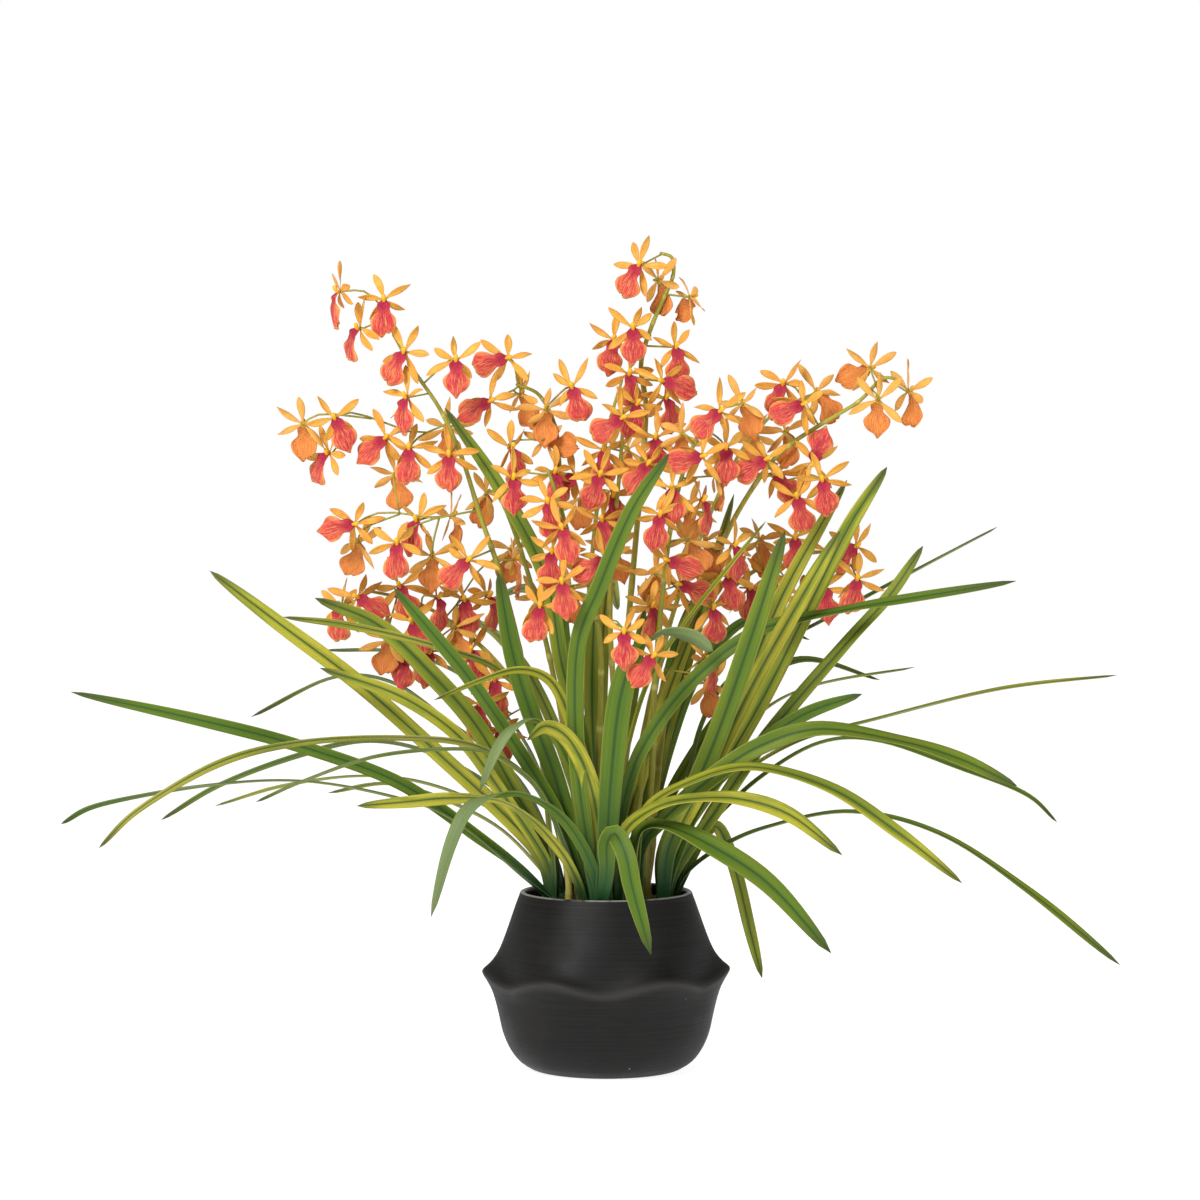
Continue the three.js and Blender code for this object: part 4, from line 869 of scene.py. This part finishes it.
def add_leaf(mesh, rows, width, tone):
    """A channelled strap leaf along its rows, with raised edges, a keel below and a slight wave."""
    count = max(LEAF_FEWEST_RINGS, round(path_length(rows) / LEAF_RING_STEP))
    across = np.linspace(-1, 1, LEAF_ACROSS)
    aside = np.abs(across)
    thickness = LEAF_EDGE_THICKNESS + (LEAF_MID_THICKNESS - LEAF_EDGE_THICKNESS) * (1 - aside) ** 2
    tops, unders, alongs = [], [], []
    for ring in range(count + 1):
        share = ring / count
        row = curve_value(rows, share)
        tangent = curve_tangent(rows, share)
        in_view = unit(np.cross(tangent, VIEW_FORWARD))
        in_depth = unit(np.cross(in_view, tangent))
        twist = math.radians(row[3])
        side = math.cos(twist) * in_view + math.sin(twist) * in_depth
        face = unit(np.cross(tangent, side))
        spread = max(leaf_width_share(share), LEAF_TIP_SHARE)
        half = 0.5 * width * spread
        wave = LEAF_WAVE * spread * math.sin(share * LEAF_WAVE_RATE + tone * LEAF_WAVE_SHIFT)
        raised = LEAF_CHANNEL * 2 * half * aside ** LEAF_CHANNEL_POWER + wave * across
        top = row[:3] + np.outer(across * half, side) + np.outer(raised, face)
        tops.append(top)
        unders.append(top - np.outer(thickness * min(1, LEAF_TIP_THINNING * spread), face))
        alongs.append(np.full(LEAF_ACROSS, share))
    mesh.sheet(np.array(tops), np.array(unders), {
        "along": np.array(alongs),
        "across": np.tile(across, (count + 1, 1)),
        "tone": tone,
    })


def make_tuft(name, tuft, seed, material):
    """The strap leaves that grow from one place in the potting mix."""
    mesh = Mesh()
    random = seeded_random(seed)
    foot = np.array(tuft["foot"], float)
    for width, path in tuft["leaves"]:
        rows = np.array([[*from_view(across, down, depth), twist] for across, down, depth, twist in path])
        away = rows[0, :2] - foot
        away *= min(LEAF_ROOT_OFFSET / max(float(np.linalg.norm(away)), 1), LEAF_ROOT_LEAN)
        root = np.array([[*(foot + away), SOIL_TOP + ROOT_RISE, rows[0, 3]]])
        add_leaf(mesh, np.concatenate([root, rows]), width, next(random))
    centres = np.array([[*foot, SOIL_TOP + height] for height, _ in STUB])
    round_tube(mesh, centres, [radius for _, radius in STUB], STUB_SIDES, {"tone": STUB_TONE})
    place_piece(mesh.make(f"leaves_{name}", material), f"leaf_tuft_{name}")


# Stems and blooms


def add_stem(mesh, path, tone):
    """The main stem with a swollen ring at every joint."""
    length = path_length(path)
    count = round(length / STEM_RING_STEP)
    shares = np.linspace(0, 1, count + 1)
    centres = np.array([curve_value(path, share) for share in shares])
    radii = STEM_ROOT_RADIUS + (STEM_TIP_RADIUS - STEM_ROOT_RADIUS) * shares
    place = shares * length / NODE_SPACING + tone
    nodes = np.exp(-((place - np.round(place)) * NODE_SPACING / NODE_WIDTH) ** 2)
    radii = radii * (1 + NODE_SWELLING * nodes)
    round_tube(mesh, centres, radii, STEM_SIDES, {"edge": np.repeat(nodes, STEM_SIDES), "tone": tone})


def bloom_axes(lip_angle, facing):
    """The bloom's own axes: its lip hangs along the turned view direction and its face looks outward."""
    lip_turn, face_turn = math.radians(lip_angle), math.radians(facing)
    face = np.array([math.sin(face_turn), -math.cos(face_turn), 0])
    lip = np.array([math.sin(lip_turn), 0, -math.cos(lip_turn)])
    up = -unit(lip - face * float(lip @ face))
    return np.cross(up, face), up, face


def add_tepal(mesh, heart, axes, direction, random, tone):
    """A narrow petal that widens beyond its middle, folded along its rib and slightly twisted."""
    right, up, face = axes
    angle = math.radians(direction + TEPAL_TURN * (next(random) - 0.5))
    length = TEPAL_LENGTH * (1 + TEPAL_SPREAD * (next(random) - 0.5))
    lift = TEPAL_LIFT * (next(random) - TEPAL_LIFT_CENTRE)
    out = math.cos(angle) * right + math.sin(angle) * up
    side = -math.sin(angle) * right + math.cos(angle) * up
    phase = direction * TEPAL_TURN_PHASE + tone * TEPAL_TONE_PHASE
    twist = TEPAL_TWIST * math.sin(phase)
    sway = TEPAL_SWAY * math.cos(TEPAL_SWAY_RATE * phase)
    across = np.linspace(-1, 1, TEPAL_ACROSS)
    cup = TEPAL_CUP * np.abs(across) ** TEPAL_CUP_POWER
    tops, unders, alongs = [], [], []
    for step in range(TEPAL_STEPS + 1):
        share = step / TEPAL_STEPS
        half = TEPAL_HALF_WIDTH * max(math.sin(math.pi * share ** TEPAL_WIDEST_POWER), 0) ** TEPAL_FULLNESS
        half = max(half, TEPAL_ROOT_HALF_WIDTH * (1 - share) ** 2, TEPAL_TIP_HALF_WIDTH)
        turn = twist * share
        wide = math.cos(turn) * side + math.sin(turn) * face
        normal = -math.sin(turn) * side + math.cos(turn) * face
        centre = heart + out * (TEPAL_START + share * (length - TEPAL_START))
        centre = centre + face * (lift * share ** TEPAL_LIFT_POWER + TEPAL_FRONT)
        centre = centre + side * sway * share * (share - TEPAL_SWAY_CROSSING)
        top = centre + np.outer(across * half, wide) + np.outer(half * cup, normal)
        tops.append(top)
        unders.append(top - TEPAL_THICKNESS * max(half / TEPAL_HALF_WIDTH, TEPAL_THINNEST_SHARE) * normal)
        alongs.append(np.full(TEPAL_ACROSS, share))
    mesh.sheet(np.array(tops), np.array(unders), {
        "along": np.array(alongs),
        "across": np.tile(across, (TEPAL_STEPS + 1, 1)),
        "tone": tone,
    })


def lip_half_width(share):
    """The outline's half-width there, with its corners rounded."""
    shares, widths = zip(*LIP_OUTLINE)
    near = [np.interp(share + step * LIP_SMOOTHING, shares, widths) for step in range(-2, 3)]
    return float(sum(near) / len(near))


def ramp(value, start, end):
    """From 0 at the start to 1 at the end."""
    return min(max((value - start) / (end - start), 0), 1)


def add_lip(mesh, heart, axes, tone):
    """The hanging lip: two rounded side lobes, a narrow waist and a wide ruffled fan."""
    right, up, face = axes
    across = np.linspace(-1, 1, LIP_ACROSS)
    aside = np.abs(across)
    crease = LIP_CREASE * np.exp(-(across / LIP_CREASE_REACH) ** 2)
    tops, unders, alongs, edges = [], [], [], []
    phase = tone * math.tau
    skew = LIP_SKEW * math.sin(phase * LIP_SKEW_RATE)
    scallop = LIP_SCALLOP * np.cos(across * LIP_SCALLOP_RATE + phase)
    for step in range(LIP_STEPS + 1):
        share = step / LIP_STEPS
        lobes = math.exp(-((share - LIP_LOBES_AT) / LIP_LOBES_REACH) ** 2)
        fan = ramp(share, LIP_FAN_FROM, LIP_FAN_FULL)
        edge = np.maximum(aside, ramp(share, LIP_MARGIN_FROM, 1))
        crown = LIP_CROWN * math.sin(math.pi * min(share / LIP_CROWN_END, 1)) ** LIP_CROWN_POWER
        waves = np.sin(LIP_RUFFLE_ALONG * share * np.sign(across) + LIP_RUFFLE_ACROSS * across + phase)
        fold = LIP_LOBE_FOLD * lobes * across ** 2 - LIP_FAN_FOLD * fan * aside ** LIP_FAN_FOLD_POWER
        reach = LIP_LENGTH * (share * (1 + scallop) - LIP_CORNER_ROUNDING * fan * aside)
        droop = LIP_DROOP * fan * (1 - aside) * share
        wave = LIP_SIDE_WAVE * np.sin(share * LIP_SIDE_WAVE_RATE + phase * LIP_SIDE_WAVE_SHIFT)
        sideways = across * lip_half_width(share) * (1 + wave) + skew * share
        raised = LIP_FRONT + crown + LIP_RUFFLE * fan * edge ** 3 * waves + fold - crease * fan
        top = heart + np.outer(sideways, right) + np.outer(-reach - droop, up) + np.outer(raised, face)
        tops.append(top)
        unders.append(top - LIP_THICKNESS * face)
        alongs.append(np.full(LIP_ACROSS, share))
        edges.append(edge)
    mesh.sheet(np.array(tops), np.array(unders), {
        "along": np.array(alongs),
        "across": np.tile(across, (LIP_STEPS + 1, 1)),
        "edge": np.array(edges),
        "tone": tone,
    })


def add_column(mesh, heart, axes, tone):
    """The small hooded column that stands above the lip."""
    _, up, face = axes
    steps = np.linspace(0, 1, len(COLUMN_SWELLING))
    heights = COLUMN_HEIGHT * steps - COLUMN_BELOW
    fronts = COLUMN_FRONT + COLUMN_ARCH * np.sin(COLUMN_ARCH_TURN * steps)
    centres = heart + np.outer(heights, up) + np.outer(fronts, face)
    radii = COLUMN_RADIUS * np.array(COLUMN_SWELLING)
    round_tube(mesh, centres, radii, COLUMN_SIDES, {"along": COLUMN_TONE_PLACE, "tone": tone, "edge": 1.0})


def add_pedicel(mesh, places, tone):
    """The thin stalk from the stem to the back of the bloom, thicker under the bloom."""
    rows = np.array(places)
    shares = np.linspace(0, 1, PEDICEL_RINGS)
    centres = np.array([curve_value(rows, share) for share in shares])
    swelling = PEDICEL_SWELLING * np.clip(1 - shares * PEDICEL_SWELLING_RATE, 0, 1)
    round_tube(mesh, centres, PEDICEL_RADIUS * (1 + swelling), PEDICEL_SIDES, {"tone": tone})


def stem_starts(path, steps):
    starts = []
    for step in range(int(BARE_STEM_SHARE * steps + 0.5), steps):
        here, after = curve_value(path, step / steps), curve_value(path, (step + 1) / steps)
        for part in range(STARTS_PER_STEP):
            starts.append(here + (after - here) * (part + 0.5) / STARTS_PER_STEP)
    return starts


def roomy_place(across, down, depth, hearts):
    """The traced place, moved nearer or farther until the bloom has room beside the earlier ones."""
    room = np.array([BLOOM_ROOM_ACROSS, BLOOM_ROOM_DEEP, BLOOM_ROOM_ACROSS])
    for shift in DEPTH_SHIFTS:
        place = from_view(across, down, depth + shift)
        if all(np.linalg.norm((place - heart) / room) > 1 for heart in hearts):
            return place
    return from_view(across, down, depth)


def make_spray(name, spray, seed, materials):
    """One spray: its stem with the pedicels, its petals with the columns, and its lips."""
    stalks, petals, lips = Mesh(), Mesh(), Mesh()
    random = seeded_random(seed)
    foot = spray["foot"]
    rows = [[*foot, SOIL_TOP + ROOT_RISE]] + [list(from_view(*row)) for row in spray["stem"]]
    path = np.array(rows, float)
    tone = (seed * SPRAY_TONE_STEP) % 1
    steps = int(path_length(path) / STEM_STEP + 0.5)
    buried = np.array([[*foot, SOIL_TOP - STEM_ROOT_DEPTH]])
    add_stem(stalks, np.concatenate([buried, path]), tone)
    starts = stem_starts(path, steps)
    hearts = []
    for number, (across, down, depth, lip_angle, facing) in enumerate(spray["blooms"]):
        heart = roomy_place(across, down, depth, hearts)
        hearts.append(heart)
        axes = bloom_axes(lip_angle, facing)
        face = axes[2]
        end = heart - face * HEART_BACK
        aim = end - face * PEDICEL_BACKSET
        start = min(starts, key=lambda place: float(np.linalg.norm(place - aim)))
        reach = float(np.linalg.norm(start - end))
        bend = start + (aim - start) * PEDICEL_BEND_SHARE + np.array([0, 0, PEDICEL_ARCH * reach])
        turned = float(face @ (start - end)) > -PEDICEL_TURN_SHARE * reach
        bloom_tone = (number * BLOOM_TONE_STEP + tone) % 1
        if reach > SIDE_SHOOT_REACH or turned:
            add_pedicel(stalks, [heart, end, bend, start], bloom_tone)
            starts.append(bend + (start - bend) * PEDICEL_FORK_SHARE)
        else:
            add_pedicel(stalks, [heart, end, start], bloom_tone)
        for direction in TEPAL_DIRECTIONS:
            add_tepal(petals, heart, axes, direction, random, bloom_tone)
        add_column(petals, heart, axes, bloom_tone)
        add_lip(lips, heart, axes, bloom_tone)
    node = f"flower_spray_{name}"
    place_piece(stalks.make(f"stalks_{name}", materials["stalk"]), node)
    place_piece(petals.make(f"petals_{name}", materials["petal"]), node)
    place_piece(lips.make(f"lips_{name}", materials["lip"]), node)


# Materials


def colour(code):
    """A linear colour from a six-digit sRGB code."""
    parts = [int(code[start:start + 2], 16) / 255 for start in (0, 2, 4)]
    return [part / 12.92 if part <= 0.04045 else ((part + 0.055) / 1.055) ** 2.4 for part in parts] + [1]


class Shader:
    """A material whose nodes are added by short calls."""

    def __init__(self, name):
        self.material = bpy.data.materials.new(name)
        self.material.use_nodes = True
        self.nodes = self.material.node_tree.nodes
        self.links = self.material.node_tree.links
        self.surface = self.nodes["Principled BSDF"]

    def put(self, socket, value):
        if isinstance(value, bpy.types.NodeSocket):
            self.links.new(value, socket)
        else:
            socket.default_value = value

    def mark(self, name):
        """A number that the mesh carries at its points."""
        node = self.nodes.new("ShaderNodeAttribute")
        node.attribute_name = name
        return node.outputs["Fac"]

    def height(self):
        node = self.nodes.new("ShaderNodeSeparateXYZ")
        self.put(node.inputs["Vector"], self.nodes.new("ShaderNodeTexCoord").outputs["Object"])
        return node.outputs["Z"]

    def height_band(self, low, high, start=0.0, end=1.0):
        """A smooth step between two heights in millimetres."""
        return self.band(self.height(), low * MM, high * MM, start, end)

    def place(self, scale=(1, 1, 1)):
        """The place on the plant in metres, stretched by a scale."""
        node = self.nodes.new("ShaderNodeMapping")
        node.inputs["Scale"].default_value = scale
        self.put(node.inputs["Vector"], self.nodes.new("ShaderNodeTexCoord").outputs["Object"])
        return node.outputs["Vector"]

    def grid(self, across, along, tone):
        """A place on a leaf or petal, made of its marks, for streaks that run along it."""
        node = self.nodes.new("ShaderNodeCombineXYZ")
        self.put(node.inputs["X"], self.math("MULTIPLY", self.mark("across"), across))
        self.put(node.inputs["Y"], self.math("MULTIPLY", self.mark("along"), along))
        self.put(node.inputs["Z"], self.math("MULTIPLY", self.mark("tone"), tone))
        return node.outputs["Vector"]

    def math(self, operation, first, second=0.0):
        node = self.nodes.new("ShaderNodeMath")
        node.operation = operation
        self.put(node.inputs[0], first)
        self.put(node.inputs[1], second)
        return node.outputs[0]

    def noise(self, vector, scale, detail=3.0, roughness=0.55):
        node = self.nodes.new("ShaderNodeTexNoise")
        self.put(node.inputs["Vector"], vector)
        self.put(node.inputs["Scale"], scale)
        self.put(node.inputs["Detail"], detail)
        self.put(node.inputs["Roughness"], roughness)
        return node.outputs["Fac"]

    def cells(self, vector, scale):
        node = self.nodes.new("ShaderNodeTexVoronoi")
        self.put(node.inputs["Vector"], vector)
        self.put(node.inputs["Scale"], scale)
        return node.outputs["Distance"]

    def band(self, value, low, high, start=0.0, end=1.0):
        """A smooth step from one number at low to another at high."""
        node = self.nodes.new("ShaderNodeMapRange")
        node.interpolation_type = "SMOOTHSTEP"
        for socket, number in zip(node.inputs, (value, low, high, start, end)):
            self.put(socket, number)
        return node.outputs[0]

    def blend(self, share, first, second):
        """From the first colour to the second."""
        node = self.nodes.new("ShaderNodeMix")
        node.data_type = "RGBA"
        sockets = [socket for socket in node.inputs if socket.enabled]
        for socket, value in zip(sockets, (share, first, second)):
            self.put(socket, value)
        return next(socket for socket in node.outputs if socket.enabled)

    def finish(self, base, roughness, bump=None, depth=0.0002, **sockets):
        self.put(self.surface.inputs["Base Color"], base)
        self.put(self.surface.inputs["Roughness"], roughness)
        for name, value in sockets.items():
            self.put(self.surface.inputs[name.replace("_", " ")], value)
        if bump is not None:
            node = self.nodes.new("ShaderNodeBump")
            self.put(node.inputs["Distance"], depth)
            self.put(node.inputs["Height"], bump)
            self.put(self.surface.inputs["Normal"], node.outputs["Normal"])
        return self.material


def pot_material():
    """Charcoal stoneware with brushed rings, a painted highlight along the ridge, pale specks, a painted
    highlight in patches on the rim top, and a glazed rim and inside.
    """
    s = Shader("charcoal_stoneware")
    rings = s.noise(s.place((9, 9, 900)), 1.0, 3.0)
    grain = s.noise(s.place(), 900.0, 3.0)
    cloud = s.noise(s.place(), 22.0, 4.0)
    base = s.blend(s.band(rings, 0.35, 0.7), colour("0e0d0d"), colour("171615"))
    base = s.blend(s.band(cloud, 0.45, 0.75, 0.0, 0.5), base, colour("201e1d"))
    # Painted highlight: the ridge is lighter where light catches its crease
    base = s.blend(s.math("MULTIPLY", s.mark("edge"), 0.35), base, colour("4a4846"))
    specks = s.band(s.cells(s.place(), 70.0), 0.035, 0.075, 1.0, 0.0)
    specks = s.math("MULTIPLY", specks, s.band(s.noise(s.place(), 34.0), 0.6, 0.66))
    base = s.blend(s.math("MULTIPLY", specks, 0.7), base, colour("8f8b86"))
    # Painted highlight in patches on the rim top
    patches = s.band(s.noise(s.place(), 45.0), 0.3, 0.55)
    rim_highlight = s.math("MULTIPLY", s.height_band(RIM_HIGHLIGHT_FROM, RIM_HIGHLIGHT_TO), patches)
    base = s.blend(s.math("MULTIPLY", rim_highlight, 0.75), base, colour("a5a29e"))
    glaze = s.mark("under")
    inside = s.math("MULTIPLY", glaze, s.height_band(GLAZE_FADE_FROM, RIM_HIGHLIGHT_FROM, 1.0, 0.0))
    base = s.blend(inside, base, colour("100f0f"))
    roughness = s.math("SUBTRACT", s.band(cloud, 0.35, 0.7, 0.5, 0.62), s.math("MULTIPLY", glaze, 0.3))
    relief = s.math("ADD", rings, s.math("MULTIPLY", grain, 0.4))
    return s.finish(base, roughness, relief, 0.00016, Specular_IOR_Level=0.19)


def soil_material():
    """Dark bark chips and fibre."""
    s = Shader("bark_mix")
    chips = s.cells(s.place(), 150.0)
    fibre = s.noise(s.place(), 320.0, 4.0)
    base = s.blend(s.band(chips, 0.15, 0.6), colour("2b1f14"), colour("5d4427"))
    base = s.blend(s.band(fibre, 0.5, 0.7, 0.0, 0.7), base, colour("7b6a3c"))
    return s.finish(base, 0.9, s.math("ADD", chips, fibre), 0.0012)


def moss_material():
    s = Shader("moss")
    base = s.blend(s.mark("tone"), colour("53561f"), colour("938f3a"))
    base = s.blend(s.band(s.mark("along"), 0.0, 1.0), colour("3b3a18"), base)
    return s.finish(base, 0.85, s.noise(s.place(), 900.0), 0.0002)


def leaf_material():
    """Green to yellow-green straps with fine lengthwise veins, a dark midrib, painted shade at the bases,
    and dark tips.
    """
    s = Shader("strap_leaf")
    along, across, tone = s.mark("along"), s.mark("across"), s.mark("tone")
    aside = s.math("ABSOLUTE", across)
    patches = s.noise(s.grid(0.9, 5.0, 31.0), 1.0, 3.0)
    veins = s.noise(s.grid(24.0, 1.2, 17.0), 1.0, 2.0)
    base = s.blend(s.band(tone, 0.1, 0.85), colour("5a7218"), colour("b9b034"))
    base = s.blend(s.band(patches, 0.4, 0.7, 0.0, 0.65), base, colour("4c6a19"))
    base = s.blend(s.band(aside, 0.05, 0.6, 0.5, 0.0), base, colour("3f6018"))
    base = s.blend(s.band(aside, 0.02, 0.2, 0.85, 0.0), base, colour("27431f"))
    base = s.blend(s.band(aside, 0.85, 1.0, 0.0, 0.4), base, colour("bcb558"))
    base = s.blend(s.band(veins, 0.42, 0.66, 0.0, 0.45), base, colour("34521a"))
    # Painted shade at the foot of every leaf, deep in the tuft
    base = s.blend(s.band(along, 0.05, 0.34, 0.92, 0.0), base, colour("1b4526"))
    base = s.blend(s.band(along, 0.9, 1.0, 0.0, 0.75), base, colour("3a4420"))
    under = s.blend(s.band(veins, 0.4, 0.7), colour("7b8a5a"), colour("5d6e42"))
    base = s.blend(s.math("MULTIPLY", s.mark("under"), 0.8), base, under)
    roughness = s.band(patches, 0.3, 0.7, 0.42, 0.56)
    return s.finish(base, roughness, veins, 0.00022, Specular_IOR_Level=0.22)


def stalk_material():
    """Olive canes with pale joints, paler near the potting mix, and pedicels of the same olive."""
    s = Shader("olive_stalk")
    streaks = s.noise(s.place((400, 400, 40)), 1.0, 3.0)
    base = s.blend(s.mark("tone"), colour("8a8a2c"), colour("ada03a"))
    base = s.blend(s.band(streaks, 0.45, 0.7, 0.0, 0.6), base, colour("7b7b30"))
    base = s.blend(s.band(s.mark("edge"), 0.25, 0.9, 0.0, 0.7), base, colour("c3b66a"))
    base = s.blend(s.height_band(150, 260, 0.8, 0.0), base, colour("b2a658"))
    return s.finish(base, 0.5, streaks, 0.0002, Specular_IOR_Level=0.25)


def petal_material():
    """Golden petals, paler along the middle, with darker veins and edges, and a yellow column."""
    s = Shader("golden_petal")
    along, tone = s.mark("along"), s.mark("tone")
    aside = s.math("ABSOLUTE", s.mark("across"))
    veins = s.noise(s.grid(8.0, 1.3, 23.0), 1.0, 2.0)
    cloud = s.noise(s.place(), 120.0, 3.0)
    base = s.blend(tone, colour("e4a840"), colour("dc953a"))
    base = s.blend(s.band(cloud, 0.42, 0.68, 0.0, 0.6), base, colour("eebb55"))
    base = s.blend(s.band(veins, 0.42, 0.66, 0.0, 0.55), base, colour("c57d2c"))
    base = s.blend(s.band(aside, 0.6, 1.0, 0.0, 0.4), base, colour("cc8834"))
    base = s.blend(s.band(along, 0.0, 0.35, 0.5, 0.0), base, colour("c9a83f"))
    base = s.blend(s.math("MULTIPLY", s.mark("under"), 0.4), base, colour("dda658"))
    base = s.blend(s.mark("edge"), base, colour("eeb02c"))
    return s.finish(base, 0.55, s.math("ADD", veins, cloud), 0.0004, Specular_IOR_Level=0.25)


def lip_material():
    """Coral lips with a magenta heart, golden veins and margin, crinkles, and a paler back."""
    s = Shader("coral_lip")
    along, tone = s.mark("along"), s.mark("tone")
    aside = s.math("ABSOLUTE", s.mark("across"))
    veins = s.noise(s.grid(20.0, 3.4, 29.0), 1.0, 3.0)
    crinkle = s.noise(s.place(), 330.0, 3.0)
    base = s.blend(tone, colour("c92f3f"), colour("d2463f"))
    base = s.blend(s.band(crinkle, 0.42, 0.66, 0.0, 0.55), base, colour("e0684f"))
    heart = s.math("MULTIPLY", s.band(aside, 0.1, 0.85, 1.0, 0.0), s.band(along, 0.5, 0.95, 1.0, 0.0))
    base = s.blend(s.math("MULTIPLY", heart, 0.7), base, colour("ac1d3a"))
    base = s.blend(s.band(along, 0.14, 0.4, 0.6, 0.0), base, colour("a32248"))
    lines = s.math("MULTIPLY", s.band(veins, 0.5, 0.62), s.band(along, 0.2, 0.5))
    base = s.blend(s.math("MULTIPLY", lines, 0.65), base, colour("eda057"))
    margin = s.math("MULTIPLY", s.band(s.mark("edge"), 0.72, 1.0), s.band(along, 0.3, 0.55))
    base = s.blend(s.math("MULTIPLY", margin, 0.85), base, colour("eca552"))
    back = s.blend(s.band(veins, 0.45, 0.7), colour("e28f45"), colour("d26a38"))
    base = s.blend(s.mark("under"), base, back)
    return s.finish(base, 0.55, s.math("ADD", veins, crinkle), 0.001, Specular_IOR_Level=0.25)


# Studio


def make_floor():
    mesh = bpy.data.meshes.new("floor")
    reach = FLOOR_REACH * MM
    corners = [(-reach, -reach, 0), (reach, -reach, 0), (reach, reach, 0), (-reach, reach, 0)]
    mesh.from_pydata(corners, [], [(0, 1, 2, 3)])
    shader = Shader("pale_floor")
    mesh.materials.append(shader.finish(
        colour("bcbcbc"), 0.9, Emission_Color=colour("ffffff"), Emission_Strength=FLOOR_GLOW))
    floor = bpy.data.objects.new("floor", mesh)
    floor.location.z = -FLOOR_DROP * MM
    bpy.context.scene.collection.objects.link(floor)


def make_light(name, place, size, power):
    """A soft square light that points at the middle of the plant."""
    light = bpy.data.lights.new(name, "AREA")
    light.size = size * MM
    light.energy = power
    lamp = bpy.data.objects.new(name, light)
    lamp.location = Vector(place) * MM
    lamp.rotation_euler = (Vector((0, 0, VIEW_HEIGHT)) - Vector(place)).to_track_quat("-Z", "Y").to_euler()
    bpy.context.scene.collection.objects.link(lamp)


def make_world():
    """A white background that lights the plant less strongly than the camera sees it."""
    world = bpy.data.worlds.new("studio")
    world.use_nodes = True
    background = world.node_tree.nodes["Background"]
    background.inputs["Color"].default_value = colour("ffffff")
    seen = world.node_tree.nodes.new("ShaderNodeLightPath").outputs["Is Camera Ray"]
    strength = world.node_tree.nodes.new("ShaderNodeMath")
    strength.operation = "MAXIMUM"
    strength.inputs[1].default_value = WORLD_GLOW
    world.node_tree.links.new(seen, strength.inputs[0])
    world.node_tree.links.new(strength.outputs[0], background.inputs["Strength"])
    bpy.context.scene.world = world
    bpy.context.scene.view_settings.view_transform = "Standard"


def make_camera():
    """A long lens, slightly above the pot, that frames the plant as the traced view does."""
    data = bpy.data.cameras.new("camera")
    data.sensor_width = SENSOR_WIDTH
    data.lens = SENSOR_WIDTH * VIEW_DISTANCE / (VIEW_PIXELS * VIEW_MM_PER_PIXEL)
    data.clip_end = CAMERA_REACH
    camera = bpy.data.objects.new("camera", data)
    place = np.array([VIEW_ACROSS, 0, VIEW_HEIGHT]) - VIEW_DISTANCE * VIEW_FORWARD
    camera.location = Vector(place) * MM
    camera.rotation_euler = (math.pi / 2 - VIEW_ELEVATION, 0, 0)
    bpy.context.scene.collection.objects.link(camera)
    bpy.context.scene.camera = camera


def main():
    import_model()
    make_pot(pot_material())
    make_soil(soil_material())
    make_moss(moss_material())
    leaf = leaf_material()
    for seed, (name, tuft) in enumerate(TUFTS.items(), start=1):
        make_tuft(name, tuft, seed * LEAF_TONE_SEED, leaf)
    materials = {"stalk": stalk_material(), "petal": petal_material(), "lip": lip_material()}
    for seed, (name, spray) in enumerate(SPRAYS.items(), start=1):
        make_spray(name, spray, seed, materials)
    make_floor()
    make_light("key", KEY_PLACE, KEY_SIZE, KEY_POWER)
    make_light("fill", FILL_PLACE, FILL_SIZE, FILL_POWER)
    make_world()
    make_camera()


main()
